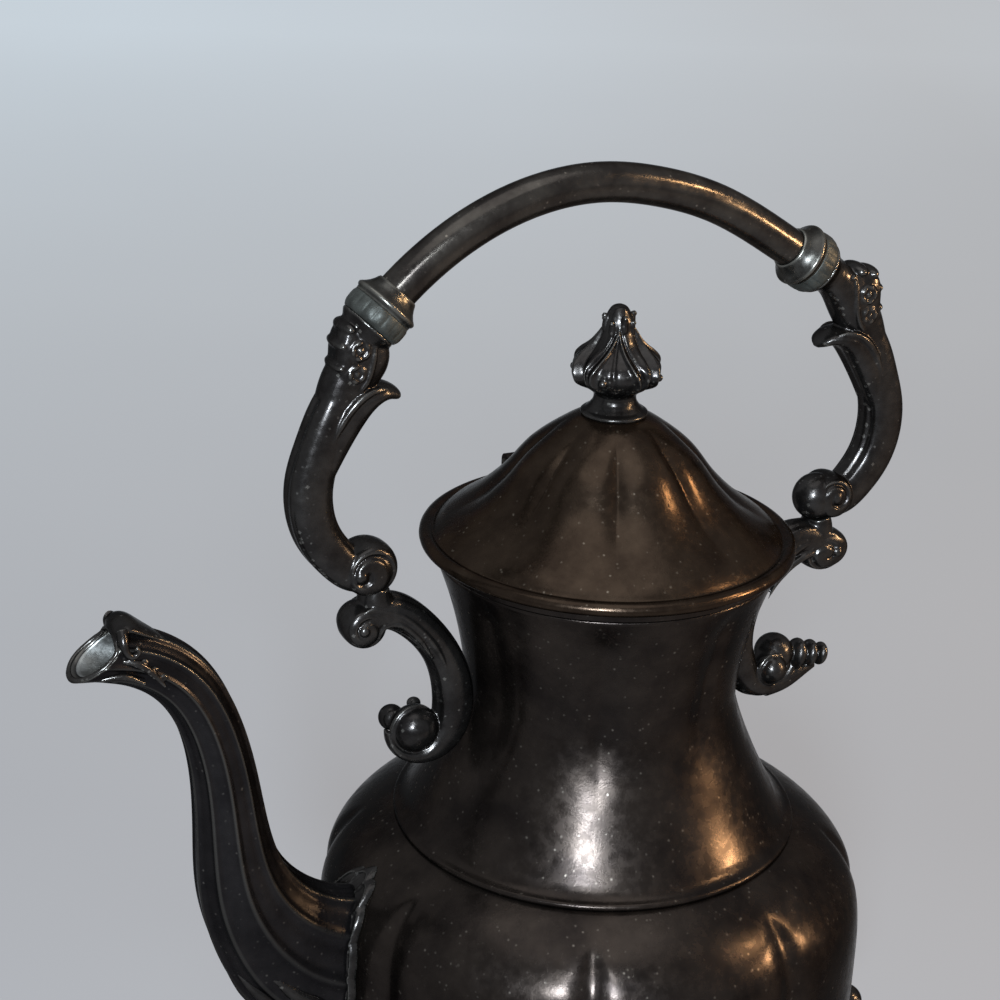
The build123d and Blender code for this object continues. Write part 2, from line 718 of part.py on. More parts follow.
def post(side):
    line = placed(post_foot_run, (ring_radius, ring_bottom)) + placed(post_head_run, pin_place)
    solid = bar(line, post_sizes) + bar(placed(post_scroll_run, pin_place), post_scroll_sizes)
    solid += Pos(post_ball[0], 0, post_ball[1]) * Sphere(post_ball_radius)
    sweep_room = rod_y(pin_reach, pin_height, lug_radius + moving_gap,
                       -lug_thickness / 2 - moving_gap, lug_thickness / 2 + moving_gap)
    solid = solid - ring_cutter() - sweep_room + post_head(side < 0)
    return mirror(solid, Plane.YZ) if side < 0 else solid


def cradle_ring():
    outer = cradle_bore + cradle_wall
    top = cradle_bottom + cradle_height
    return turned([(cradle_bore, cradle_bottom), (outer - 0.7, cradle_bottom), (outer, cradle_bottom + 0.7),
                   (outer, top - 0.7), (outer - 0.7, top), (cradle_bore, top)])


def stretcher(angle):
    """Curved stay from the cradle ring to a leg, trimmed to both."""
    start = cradle_bore + cradle_wall - 0.2
    reach = ring_radius + stretcher_sink - start
    line = [(start + share * reach, cradle_bottom + rise) for share, rise in stretcher_run]
    ring = Pos(0, 0, cradle_bottom) * Cylinder(cradle_bore + cradle_wall + solder_gap, 30)
    stay = bar(line, stretcher_sizes) - leg_form(solder_gap) - ring
    return Rot(0, 0, angle) * stay.solids().sort_by(SortBy.VOLUME)[-1]


# ---- burner -----------------------------------------------------------------------------------
def burner_font():
    wall = font_wall
    shoulder = font_seat + font_flange_height
    neck = filler_radius + font_wall
    outer = [(0, font_floor), (0.62 * font_radius, font_floor), (0.9 * font_radius, font_floor + 4),
             (font_radius, font_floor + 10), (font_radius, font_seat), (font_flange, font_seat),
             (font_flange, shoulder), (font_radius, shoulder), (0.78 * font_radius, shoulder + 4),
             (neck, font_top - 2), (neck, font_top), (filler_radius, font_top),
             (filler_radius, font_top - 2 - wall), (0.74 * font_radius, shoulder + 4 - wall),
             (font_radius - wall, shoulder - 0.6), (font_radius - wall, font_floor + 10),
             (0.9 * font_radius - wall, font_floor + 4 + 0.5 * wall),
             (0.6 * font_radius, font_floor + wall), (0, font_floor + wall)]
    return turned(outer)


def burner_cap():
    plug = filler_radius - solder_gap
    bore = wick_tube_radius + solder_gap
    return turned([(bore, cap_low - burner_plug_depth), (plug, cap_low - burner_plug_depth), (plug, cap_low),
                   (burner_cap_radius, cap_low), (burner_cap_radius, cap_top - 1.2),
                   (burner_cap_radius - 1.2, cap_top), (bore, cap_top)])


def wick_tube():
    inner = wick_tube_radius - wick_tube_wall
    top = cap_top + wick_tube_rise
    low = cap_top - wick_tube_drop
    return turned([(inner, low), (wick_tube_radius, low), (wick_tube_radius, top), (inner, top)])


def wick():
    radius = wick_tube_radius - wick_tube_wall - solder_gap
    top = cap_top + wick_tube_rise + wick_rise
    low = cap_top - wick_drop
    return turned([(0, low), (radius, low), (radius, top - 0.8), (radius - 0.8, top), (0, top)])


def snuffer():
    low = cap_top + moving_gap
    bore = snuffer_bore
    outer = bore + snuffer_wall
    top = low + snuffer_height
    cap = turned([(bore, low), (outer + 0.8, low), (outer + 0.8, low + 1.2), (outer, low + 1.6),
                  (outer, top - 3.2), (outer - 1.4, top - 0.9), (2.0, top + 0.8), (0, top + 0.8),
                  (0, top - snuffer_wall), (bore - 1.4, top - 1.9), (bore, top - 3.6)])
    knob = Pos(0, 0, top + 0.4 + snuffer_knob_radius) * Sphere(snuffer_knob_radius)
    return cap + knob


# ---- assembly ---------------------------------------------------------------------------------
def all_nodes():
    nodes = {
        "kettle_body": kettle_body(),
        "body_base": body_base(),
        "foot_ring": foot_ring(),
        "kettle_neck": kettle_neck(),
        "neck_seat": neck_seat(),
        "spout": spout(),
        "spout_collar": spout_collar(),
        "front_bracket": bracket(-1),
        "rear_bracket": bracket(1),
        "front_handle_arm": handle_arm(-1),
        "rear_handle_arm": handle_arm(1),
        "handle_grip": handle_grip(),
        "front_ferrule": ferrule(-1),
        "rear_ferrule": ferrule(1),
        "front_insulator": insulator(-1),
        "rear_insulator": insulator(1),
        "handle_studs": handle_studs(),
        "front_lug": lug(-1),
        "rear_lug": lug(1),
        "rest_pin": rest_pin(),
        "hinge_neck_leaf": hinge_neck_leaf(),
        "hinge_pin": hinge_pin(),
        "lid_shell": lid_shell(),
        "lid_bezel": lid_bezel(),
        "hinge_lid_leaf": hinge_lid_leaf(),
        "finial": finial(),
        "finial_base": finial_base(),
        "finial_nut": finial_nut(),
        "tilt_pin": tilt_pin(),
        "stand_ring": stand_ring(),
        "front_post": post(-1),
        "rear_post": post(1),
        "cradle_ring": cradle_ring(),
        "burner_font": burner_font(),
        "burner_cap": burner_cap(),
        "wick_tube": wick_tube(),
        "wick": wick(),
        "snuffer": snuffer(),
    }
    corners = {"rear_far": 45, "front_far": 135, "front_near": 225, "rear_near": 315}
    for name, angle in corners.items():
        nodes[f"leg_{name}"] = leg(angle)
        nodes[f"stretcher_{name}"] = stretcher(angle)
    return nodes


os.makedirs("parts", exist_ok=True)
for node_name, solid in all_nodes().items():
    export_step(Pos(frame_shift, 0, 0) * solid, f"parts/{node_name}.step")
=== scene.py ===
import json
from math import cos, pi, radians, sin

import bmesh
import bpy
import numpy as np
from mathutils import Matrix, Vector


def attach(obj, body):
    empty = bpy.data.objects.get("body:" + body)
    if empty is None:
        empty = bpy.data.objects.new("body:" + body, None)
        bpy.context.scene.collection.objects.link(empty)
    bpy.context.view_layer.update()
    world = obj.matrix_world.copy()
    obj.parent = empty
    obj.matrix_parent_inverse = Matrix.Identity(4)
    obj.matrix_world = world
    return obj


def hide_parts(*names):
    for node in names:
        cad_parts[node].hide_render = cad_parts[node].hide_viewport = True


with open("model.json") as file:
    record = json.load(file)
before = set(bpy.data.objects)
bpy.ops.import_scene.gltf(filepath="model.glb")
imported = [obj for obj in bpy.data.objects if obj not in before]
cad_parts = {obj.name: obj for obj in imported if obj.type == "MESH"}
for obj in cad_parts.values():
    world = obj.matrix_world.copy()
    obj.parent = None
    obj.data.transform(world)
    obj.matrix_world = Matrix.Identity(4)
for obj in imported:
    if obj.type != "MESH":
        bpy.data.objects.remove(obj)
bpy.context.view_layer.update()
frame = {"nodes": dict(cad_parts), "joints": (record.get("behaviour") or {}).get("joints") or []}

# Spirit kettle on its stand.  Forms are written in millimetres about the kettle's upright axis,
# spout towards -X and handle in the XZ plane, and to_frame() brings them to the frame's metres.
# The scrolls of the handle and brackets are drawn for the rear, and side = -1 mirrors them to the front.
MM = 0.001
AXIS_X = next(j["pos_m"][0] for j in frame["joints"] if j["name"] == "lid_hinge")
LOBES = 8
LATHE_TURNS = 44 * LOBES
BODY_CREASE_TURN = radians(-117.5)
LID_CREASE_TURN = radians(-114.5)
BASE_Z, BELLY_Z, SHOULDER_Z = 110.0, 158.0, 189.7
BASE_R, BELLY_R, SHOULDER_R = 40.0, 67.2, 48.7
WAIST_Z, MOUTH_Z = 225.0, 257.0
WAIST_R, NECK_FOOT_R, MOUTH_R = 32.8, 47.3, 40.2
WALL = 1.3


# ---- forms: each is (points, faces), in millimetres ----
def circle(count):
    """Evenly spaced angles all the way round."""
    return np.linspace(0, 2 * pi, count, endpoint=False)


def hump(distance, width):
    """1 at no distance, falling away smoothly over a width."""
    return np.exp(-(distance / width) ** 2)


def to_frame(points):
    """Millimetres about the kettle's axis to metres in the frame."""
    points = np.asarray(points, float) * MM
    points[:, 0] += AXIS_X
    return points


def smooth_line(points, count, place=None):
    """Evenly spaced points on a natural cubic; columns after the first `place` ride along."""
    p = np.asarray(points, float)
    place = place or p.shape[1]
    steps = np.linalg.norm(np.diff(p[:, :place], axis=0), axis=1)
    t = np.concatenate([[0], np.cumsum(steps)])
    h, n = np.diff(t), len(p)
    m, rhs = np.zeros((n, n)), np.zeros_like(p)
    m[0, 0] = m[-1, -1] = 1
    for i in range(1, n - 1):
        m[i, i - 1:i + 2] = h[i - 1], 2 * (h[i - 1] + h[i]), h[i]
        rhs[i] = 6 * ((p[i + 1] - p[i]) / h[i] - (p[i] - p[i - 1]) / h[i - 1])
    k = np.linalg.solve(m, rhs)
    fine = np.linspace(0, t[-1], 30 * n)
    i = np.clip(np.searchsorted(t, fine, "right") - 1, 0, n - 2)
    a, hh = (fine - t[i])[:, None], h[i][:, None]
    b = hh - a
    q = (k[i] * b ** 3 + k[i + 1] * a ** 3) / (6 * hh)
    q += (p[i] / hh - k[i] * hh / 6) * b + (p[i + 1] / hh - k[i + 1] * hh / 6) * a
    run = np.concatenate([[0], np.cumsum(np.linalg.norm(np.diff(q[:, :place], axis=0), axis=1))])
    even = np.linspace(0, run[-1], count)
    return np.column_stack([np.interp(even, run, q[:, c]) for c in range(q.shape[1])])


def skin(rows, wrap=False):
    """Faces over rows of rings; wrap joins the last ring to the first, else caps close both ends."""
    rows = np.asarray(rows, float)
    n, k = rows.shape[:2]
    points = list(rows.reshape(-1, 3))
    faces = []
    for i in range(n if wrap else n - 1):
        a, b = i * k, ((i + 1) % n) * k
        for j in range(k):
            jj = (j + 1) % k
            faces.append((a + j, a + jj, b + jj, b + j))
    if not wrap:
        for row, order in ((0, 1), (n - 1, -1)):
            points.append(rows[row].mean(0))
            for j in range(k):
                pair = (row * k + (j + 1) % k, row * k + j)[::order]
                faces.append(pair + (len(points) - 1,))
    return np.array(points), faces


def around(profile, turns, relief, closed=True):
    """Surface round the axis from (radius, height) points; relief gives each ring's radii."""
    angles = circle(turns)
    rows = []
    for r, z in profile:
        ring = relief(r, z, angles)
        rows.append(np.column_stack([ring * np.cos(angles), ring * np.sin(angles), np.full(turns, z)]))
    return skin(rows, wrap=closed)


def outline(count, power, grooves):
    """Unit section of a bar as (across, outward); each groove is (angle from outward, depth, width)."""
    a = circle(count)
    r = (np.abs(np.cos(a)) ** power + np.abs(np.sin(a)) ** power) ** (-1 / power)
    for angle, depth, width in grooves:
        for side in (1, -1):
            off = (a - radians(90 + side * angle) + pi) % (2 * pi) - pi
            r = r - depth * hump(off, radians(width))
    return np.column_stack([r * np.cos(a), r * np.sin(a)])


def bar(line, side=1, power=2.3, grooves=(), count=36, stations=48):
    """Bar in the handle's plane: each point is (x, z, half size across, half size in the plane)."""
    path = smooth_line(line, stations, place=2)
    way = np.gradient(path[:, :2], axis=0)
    way /= np.linalg.norm(way, axis=1)[:, None]
    form = outline(count, power, grooves)
    rows = []
    for (x, z, across, inward), (wx, wz) in zip(path, way):
        across, inward = max(across, 0.05), max(inward, 0.05)
        out = form[:, 1] * inward
        rows.append(np.column_stack([side * (x + wz * out), form[:, 0] * across, z - wx * out]))
    return skin(rows)


def cord(points, sizes, count=14, stations=40):
    """Round tapering strand through points in space; sizes are radii, evenly spaced."""
    path = smooth_line(points, stations)
    radii = np.interp(np.linspace(0, 1, stations), np.linspace(0, 1, len(sizes)), sizes)
    way = np.gradient(path, axis=0)
    way /= np.linalg.norm(way, axis=1)[:, None] + 1e-9
    up = np.array([0.13, 0.9, 0.41]) if abs(way[0][1]) < 0.8 else np.array([0.9, 0.1, 0.42])
    angles = circle(count)
    rows = []
    for p, d, r in zip(path, way, radii):
        up = up - d * (up @ d)
        up = up / np.linalg.norm(up)
        other = np.cross(d, up)
        rows.append(p + r * (np.outer(np.cos(angles), up) + np.outer(np.sin(angles), other)))
    return skin(rows)


def volute(centre, radius, half, first, turns, side=1, eye=(0, 0), dome=0.3, depth=0.7, wide=1.0):
    """Roll with a groove wound on both ends towards its eye; first is the winding's angle at the rim."""
    angles = circle(84)
    shares = np.concatenate([np.linspace(0.02, 0.9, 26), [0.94, 0.97, 0.99, 1.0]])
    faces = []
    for face in (1, -1):
        rows = []
        for s in shares:
            phase = turns * s - (angles - radians(first)) / (2 * pi)
            near = np.abs(phase - np.round(phase))
            dip = depth * hump(near, 0.13) * float(share(s, 0.06, 0.25)) * (1 - s ** 14)
            thick = half * (1 - dome * s * s) * (1 - s ** 12) ** 0.5 + 0.2 - dip
            x = centre[0] + eye[0] * (1 - s) + wide * radius * s * np.cos(angles)
            z = centre[1] + eye[1] * (1 - s) + radius * s * np.sin(angles)
            rows.append(np.column_stack([side * x, face * np.maximum(thick, 0.15), z]))
        faces.append(rows)
    return skin(faces[0] + faces[1][::-1])


def pebble(centre, sizes, lean=0.0, rings=14, turns=20):
    """Ellipsoid with half sizes along X, Y and Z, leaning in the handle's plane by lean degrees."""
    rows = []
    angles = circle(turns)
    c, s = cos(radians(lean)), sin(radians(lean))
    for tilt in np.linspace(-pi / 2 + 0.08, pi / 2 - 0.08, rings):
        x, z = sizes[0] * cos(tilt) * np.cos(angles), sizes[2] * cos(tilt) * np.sin(angles)
        y = np.full(turns, centre[1] + sizes[1] * sin(tilt))
        rows.append(np.column_stack([centre[0] + c * x - s * z, y, centre[2] + s * x + c * z]))
    return skin(rows)


def ball(centre, radius, flat=1.0, rings=20, turns=28):
    """Ball, or one flattened along Y."""
    return pebble(centre, (radius, flat * radius, radius), 0.0, rings, turns)


def spiral(centre, start, end, first, turns):
    """Points (x, z) of a scroll that winds in from radius start to end, from angle first in degrees."""
    t = np.linspace(0, 1, 26)
    r = start + (end - start) * t ** 0.85
    a = radians(first) + 2 * pi * turns * t
    return np.column_stack([centre[0] + r * np.cos(a), centre[1] + r * np.sin(a)])


def both_faces(line, sizes, stations=40, side=1):
    """The same tapering strand on both faces of a casting; line holds (x, y, z) of one of them."""
    return [cord([(side * x, face * y, z) for x, y, z in line], sizes, stations=stations) for face in (1, -1)]


def scroll_lines(line, y, radius, side=1):
    """The same raised strand on both faces of a bar; line holds (x, z)."""
    sizes = [radius * 0.3, radius, radius, radius * 0.12]
    return both_faces([(x, y, z) for x, z in line], sizes, 80, side)


FLUTED_R = 7.1


def turned_on(origin, axis, profile, turns=72, closed=True, flutes=0):
    """Surface round any axis from (radius, distance) points; flutes hollow its wide part."""
    axis = np.asarray(axis) / np.linalg.norm(axis)
    across = np.array([0.0, 1.0, 0.0])
    other = np.cross(axis, across)
    angles = circle(turns)
    ring = np.outer(np.cos(angles), across) + np.outer(np.sin(angles), other)
    hollow = 0.2 * (np.abs(np.cos(flutes * angles / 2)) ** 0.7 - 1)
    rows = []
    for r, along in profile:
        reach = max(r, 0.01) + hollow * (r > FLUTED_R)
        rows.append(np.asarray(origin) + axis * along + reach[:, None] * ring)
    return skin(rows, wrap=closed)


# ---- pieces ----
def make_piece(name, forms, body, nodes, material, voxel=0.0, smoothing=0):
    """One shown piece from its forms; voxel melts them into one casting of that fineness, in mm."""
    mesh = bpy.data.meshes.new(name)
    points, faces = [], []
    for form_points, form_faces in forms:
        start = len(points)
        points.extend(map(tuple, to_frame(form_points)))
        faces.extend(tuple(start + v for v in face) for face in form_faces)
    mesh.from_pydata(points, [], faces)
    build = bmesh.new()
    build.from_mesh(mesh)
    bmesh.ops.recalc_face_normals(build, faces=build.faces)
    build.to_mesh(mesh)
    build.free()
    piece = placed(name, mesh)
    if voxel:
        melt = piece.modifiers.new("melt", "REMESH")
        melt.mode = "VOXEL"
        melt.voxel_size = voxel * MM
        if smoothing:
            soft = piece.modifiers.new("soft", "SMOOTH")
            soft.factor = 0.5
            soft.iterations = smoothing
        graph = bpy.context.evaluated_depsgraph_get()
        final = bpy.data.meshes.new_from_object(piece.evaluated_get(graph))
        piece.modifiers.clear()
        piece.data = final
    piece.data.polygons.foreach_set("use_smooth", [True] * len(piece.data.polygons))
    piece.data.materials.clear()
    piece.data.materials.append(material)
    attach(piece, body)
    if nodes:
        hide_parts(*nodes)


def casting(name, forms, nodes, voxel=0.27, smoothing=2, body="kettle"):
    """Forms melted into one cast mount."""
    make_piece(name, forms, body, nodes, CAST, voxel, smoothing)


def placed(name, data):
    """A new object in the scene."""
    piece = bpy.data.objects.new(name, data)
    bpy.context.collection.objects.link(piece)
    return piece


def share(value, low, high):
    """Smooth 0 to 1 between two values."""
    t = np.clip((value - low) / (high - low), 0, 1)
    return t * t * (3 - 2 * t)


def lobe_share(angles, turn):
    """0 at each crease between lobes, 1 at the middle of each lobe."""
    half = pi / LOBES
    return np.abs((angles - turn + half) % (2 * half) - half) / half


def crease(angles, turn, sharp, narrow=0.5):
    """1 at each crease between lobes: soft shoulders, and a narrow bottom with its share of the depth."""
    u = lobe_share(angles, turn)
    return (1 - narrow) * (1 - u) ** 2 + narrow * hump(u, sharp)


# ---- body and neck ----
BELLY_POWER, NECK_LOW_POWER, NECK_HIGH_POWER = 3.6, 1.5, 1.65
BODY_CREASE, CREASE_POINT, NECK_CREASE = 2.4, 1.1, 1.25
CREASE_TOP_Z, CREASE_POINT_Z = 185.6, 186.4
FLAT_BOTTOM_R = 30.0


def belly(z):
    """The body's radius over its lobes at a height."""
    if z >= BELLY_Z:
        end, rise = SHOULDER_R, (z - BELLY_Z) / (SHOULDER_Z - BELLY_Z)
    else:
        end, rise = BASE_R, (BELLY_Z - z) / (BELLY_Z - BASE_Z)
    return end + (BELLY_R - end) * (1 - rise ** BELLY_POWER)


def melon_relief(r, z, angles):
    """Creases between the body's lobes, each running out in a point under the neck."""
    if r <= FLAT_BOTTOM_R:
        return np.full(len(angles), float(r))
    below = share(CREASE_TOP_Z - z, 0, 20)
    depth = BODY_CREASE * below * share(z, BASE_Z - 6, BASE_Z + 22)
    point = CREASE_POINT * float(share(CREASE_POINT_Z - z, 0, 4) * share(z, 168, 182))
    width = 0.05 + 0.10 * float(share(CREASE_POINT_Z - z, 0, 9))
    u = lobe_share(angles, BODY_CREASE_TURN)
    groove = depth * crease(angles, BODY_CREASE_TURN, 0.07 + 0.09 * below)
    return r - groove - point * hump(u, width)


def kettle_melon():
    heights = np.concatenate([np.linspace(BASE_Z, 176, 56), np.linspace(176.6, SHOULDER_Z - 0.05, 34)])
    outer = [(belly(z), z) for z in heights]
    inner = [(belly(z) - WALL, z) for z in heights[::-1] if z > BASE_Z + WALL]
    bottom = [(0.5, BASE_Z), (BASE_R * 0.5, BASE_Z)]
    inner_bottom = [(r, z + WALL) for r, z in bottom[::-1]]
    profile = bottom + outer + inner + inner_bottom
    make_piece("kettle_melon", [around(profile, LATHE_TURNS, melon_relief)], "kettle",
               ["kettle_body", "body_base"], DARK_PLATE)


def neck(z):
    """The neck's radius at a height."""
    if z < WAIST_Z:
        return WAIST_R + (NECK_FOOT_R - WAIST_R) * ((WAIST_Z - z) / (WAIST_Z - SHOULDER_Z)) ** NECK_LOW_POWER
    return WAIST_R + (MOUTH_R - WAIST_R) * ((z - WAIST_Z) / (MOUTH_Z - WAIST_Z)) ** NECK_HIGH_POWER


def neck_relief(r, z, angles):
    """Soft creases up the neck, fading out at its foot and at its mouth."""
    rise = (z - SHOULDER_Z) / (MOUTH_Z - SHOULDER_Z)
    depth = NECK_CREASE * float(share(z, 206, 226) * share(MOUTH_Z - z, 0, 9))
    return r - depth * crease(angles, BODY_CREASE_TURN, 0.2 + 0.15 * (1 - rise))


def kettle_throat():
    foot_bead = [(46.6, 189.55), (48.0, 189.6), (48.6, 189.9), (48.75, 190.4), (48.6, 190.95), (48.1, 191.25),
                 (47.5, 191.4), (46.7, 191.9)]
    heights = np.linspace(193.0, MOUTH_Z, 64)
    outer = [(neck(z) + 0.25 * float(share(200 - z, 0, 8)), z) for z in heights]
    inner = [(neck(z) - WALL, z) for z in heights[::-1]] + [(45.5, 190.6)]
    make_piece("kettle_throat", [around(foot_bead + outer + inner, LATHE_TURNS, neck_relief)], "kettle",
               ["kettle_neck"], DARK_PLATE)


# ---- lid ----
LID_OUTLINE = [(38.0, 264.75), (35.4, 266.6), (31.4, 269.6), (27.9, 272.8), (24.9, 276.0), (22.6, 279.0),
               (20.4, 281.7), (17.9, 284.1), (15.0, 286.4), (12.0, 288.5), (9.6, 290.0), (8.0, 290.75)]
LID_RIM = [(39.6, 260.2), (40.9, 259.9), (42.2, 259.45), (43.1, 259.7), (43.62, 260.2), (43.8, 260.8),
           (43.72, 261.45), (43.35, 262.05), (42.75, 262.45), (42.05, 262.62), (41.4, 262.52),
           (40.95, 262.25), (40.65, 262.15), (40.35, 262.4), (39.9, 262.95), (39.3, 263.55), (38.6, 264.2)]
LID_WALL, LID_CREASE = (1.0, 0.55), 1.85


def lid_relief(r, z, angles):
    """Creases between the lid's lobes, from above the rim to below the finial."""
    if z < 264.0 or r < 7:
        return np.full(len(angles), float(r))
    depth = LID_CREASE * float(share(z, 263.8, 271.5) * share(290.6 - z, 0, 8))
    return r - depth * crease(angles, LID_CREASE_TURN, 0.26, 0.22)


def lid_dome():
    outer = [tuple(p) for p in smooth_line(LID_OUTLINE, 72)]
    inner_line = [(r - LID_WALL[0], z - LID_WALL[1]) for r, z in LID_OUTLINE[::-1]]
    inner = [tuple(p) for p in smooth_line(inner_line, 40)]
    stud_hole = [(6.4, 290.9), (1.6, 290.95), (1.6, 289.7)]
    profile = LID_RIM + outer + stud_hole + inner + [(37.4, 263.3), (38.2, 261.4)]
    make_piece("lid_dome", [around(profile, LATHE_TURNS, lid_relief)], "lid", ["lid_shell"],
               LID_PAINTED_LIGHT_PLATE)


# ---- finial ----
BUD_OUTLINE = [(5.0, 296.0), (5.9, 296.8), (7.5, 297.9), (8.8, 299.2), (9.5, 300.7), (9.7, 302.0),
               (9.3, 303.4), (8.2, 304.8), (6.8, 306.1), (5.4, 307.5), (4.3, 309.1), (3.6, 310.7),
               (3.4, 312.2), (3.1, 313.6), (2.5, 315.0), (1.6, 316.2), (0.4, 316.7)]
BUD_FOOT = [(0.3, 290.95), (7.4, 290.95), (7.75, 291.3), (7.7, 291.7), (7.2, 292.05), (6.6, 292.3),
            (6.3, 292.6), (5.7, 293.2), (5.05, 294.1), (4.85, 294.9), (4.85, 295.5)]
PETALS = 4
PETAL_STEP = 2 * pi / PETALS
PETAL_TURN = radians(-116)
PETAL_R = 8.0


def petal_gap(angles, z):
    """How far inside (+) or outside (-) its petal a point of the bud is, in mm, and from its midrib."""
    off = (angles - PETAL_TURN + PETAL_STEP / 2) % PETAL_STEP - PETAL_STEP / 2
    lean = off + radians(5) * sin((z - 297) / 15 * pi)
    rise = np.clip((z - 296.8) / 14.6, 0.001, 0.999)
    half = radians(37) * (sin(pi * rise ** 0.62) ** 0.75) * (1 - 0.45 * rise)
    return (half - abs(lean)) * PETAL_R, lean * PETAL_R


def bud_relief(r, z, angles):
    """Petals with raised rims and a midrib, and a smooth sepal between each two."""
    ring = np.full(len(angles), float(r))
    if z <= 296.6:
        return ring
    gap, mid = petal_gap(angles, z)
    strong = float(share(z, 296.8, 300.0) * share(312.6 - z, 0, 2.5)) * min(1.0, r / 7)
    inside = share(gap, -0.6, 0.5)
    rim = 1.25 * hump(gap - 0.15, 0.62)
    valley = 0.75 * hump(gap + 1.15, 0.6)
    midrib = 0.35 * inside * hump(mid + 0.2, 0.5)
    off = ((angles - PETAL_TURN) % PETAL_STEP - PETAL_STEP / 2) * PETAL_R
    sepal = 0.8 * hump(off, 0.9) * float(share(309 - z, 0, 5))
    return ring + strong * (rim + 0.45 * inside - valley - midrib + sepal)


def petal_tips():
    """A bead low on each petal, and two tips that curl out of the bud's top."""
    forms = []
    for petal in range(PETALS):
        middle = PETAL_TURN + petal * PETAL_STEP
        bead = middle - radians(20)
        forms.append(ball((10.0 * cos(bead), 10.0 * sin(bead), 300.8), 0.95, rings=10, turns=14))
        for turn, low, high in ((-28, 310.6, 313.0), (20, 311.6, 314.4)):
            a = middle + radians(turn)
            reach = [(2.4, low - 1.6), (3.2, low + 0.2), (3.2, high - 0.8), (3.5, high), (3.8, high - 0.5)]
            tip = [(r * cos(a), r * sin(a), z) for r, z in reach]
            forms.append(cord(tip, [0.6, 0.9, 0.8, 0.75, 0.5], stations=30))
    return forms


def lotus_bud():
    profile = BUD_FOOT + [tuple(p) for p in smooth_line(BUD_OUTLINE, 150)]
    forms = [around(profile, 360, bud_relief, closed=False)] + petal_tips()
    casting("lotus_bud", forms, ["finial", "finial_base"], 0.15, 1, "lid")


# ---- spout ----
# (x, z, half width, half height) along the tube, and (z, x) up its mouth's edge
SPOUT_LINE = [(-54, 158.6, 9.4, 19.5), (-74, 166.5, 9.4, 17.6), (-84.6, 177.6, 9.4, 13.6),
              (-90.2, 189.5, 9.0, 10.5), (-92.4, 201.5, 7.9, 8.5), (-94.0, 216.5, 7.0, 7.2),
              (-97.2, 231.0, 6.5, 6.6), (-104.4, 244.0, 6.4, 6.4), (-114.5, 250.5, 6.4, 6.2),
              (-124.2, 252.5, 7.3, 5.9), (-136, 254.0, 7.4, 5.8)]
MOUTH_EDGE = [(244.0, -128.8), (246.2, -128.6), (247.4, -127.6), (248.8, -125.8), (250.4, -123.4),
              (252.0, -121.0), (253.4, -119.2), (254.8, -118.3), (258.0, -118.2), (262.0, -118.3)]
SPOUT_WALL, SPOUT_SINK = 1.2, 0.9
SPOUT_RIDGES, RIDGE_TURN = 10, 0.22
SPOUT_STATIONS, SPOUT_TURNS = 260, 144
BROW_BAR = [(-118.2, 256.4, 4.4, 0.6), (-117.4, 257.9, 5.0, 1.1), (-115.6, 258.3, 5.2, 1.5),
            (-113.2, 257.2, 4.8, 1.3), (-109.6, 254.9, 3.4, 0.8), (-105.6, 252.1, 1.6, 0.3)]
BROW_CURL = [(-117.0, 4.2, 258.2), (-117.2, 5.9, 256.4), (-116.6, 6.5, 254.0), (-115.2, 6.5, 253.1),
             (-114.2, 6.6, 254.2), (-114.9, 6.7, 255.2)]
CHEEK_STRAND = [(-117.6, 6.0, 252.2), (-114.8, 6.5, 251.4), (-111.6, 6.5, 248.8), (-108.6, 6.5, 244.8)]
CHIN_STRAND = [(-122.2, 5.4, 248.4), (-117.6, 6.0, 248.6), (-112.8, 6.0, 246.0)]


def before_mouth(p):
    """Positive on the kettle's side of the scooped mouth."""
    heights, runs = zip(*MOUTH_EDGE)
    return p[..., 0] - np.interp(p[..., 2], heights, runs)


def outside_belly(p):
    """Positive outside the body, and for the little way that the spout sinks into it."""
    radius = np.hypot(p[..., 0], p[..., 1])
    z = np.clip(p[..., 2], BASE_Z, SHOULDER_Z)
    return radius - np.vectorize(belly)(z) + SPOUT_SINK


def trimmed(rows, count):
    """Each long line of the tube cut at the body and at the mouth, then spaced evenly."""
    value = np.minimum(before_mouth(rows), outside_belly(rows))
    result = np.zeros((count, rows.shape[1], 3))
    for j in range(rows.shape[1]):
        v = value[:, j]
        good = np.where(v > 0)[0]
        first, last = good[0], good[-1]
        a = first - v[first] / (v[first] - v[first - 1]) if first else 0.0
        b = last + v[last] / (v[last] - v[last + 1]) if last < len(v) - 1 else float(last)
        s = np.linspace(a, b, count)
        for c in range(3):
            result[:, j, c] = np.interp(s, np.arange(len(v)), rows[:, j, c])
    return result


def ridge_height(t, angles):
    """Ridges along the tube at a share t of its length, none at its root and its mouth."""
    step = 2 * pi / SPOUT_RIDGES
    off = np.abs((angles + RIDGE_TURN) % step - step / 2) / (step / 2)
    grown = float(share(t, 0.02, 0.12)) * (1 - float(share(t, 0.86, 0.93)))
    return grown * (0.85 - 0.3 * t) * (hump(off, 0.30) - 0.35)


def tube_rows(shrink, ridged=False):
    """Sections of the spout, smaller by shrink; the first point of each is on its +Y flank."""
    path = smooth_line(SPOUT_LINE, SPOUT_STATIONS, place=2)
    way = np.gradient(path[:, :2], axis=0)
    way /= np.linalg.norm(way, axis=1)[:, None]
    angles = circle(SPOUT_TURNS)
    rows = []
    for i, ((x, z, across, inward), (wx, wz)) in enumerate(zip(path, way)):
        ridge = ridge_height(i / (SPOUT_STATIONS - 1), angles) if ridged else 0.0
        u = (across - shrink + ridge) * np.cos(angles)
        v = (inward - shrink + ridge) * np.sin(angles)
        rows.append(np.column_stack([x + wz * v, u, z - wx * v]))
    return np.array(rows)


def lining_rows(shrink):
    """The stretch of the tube's inside that shows through the mouth."""
    return list(trimmed(tube_rows(shrink), 160)[118:-1])


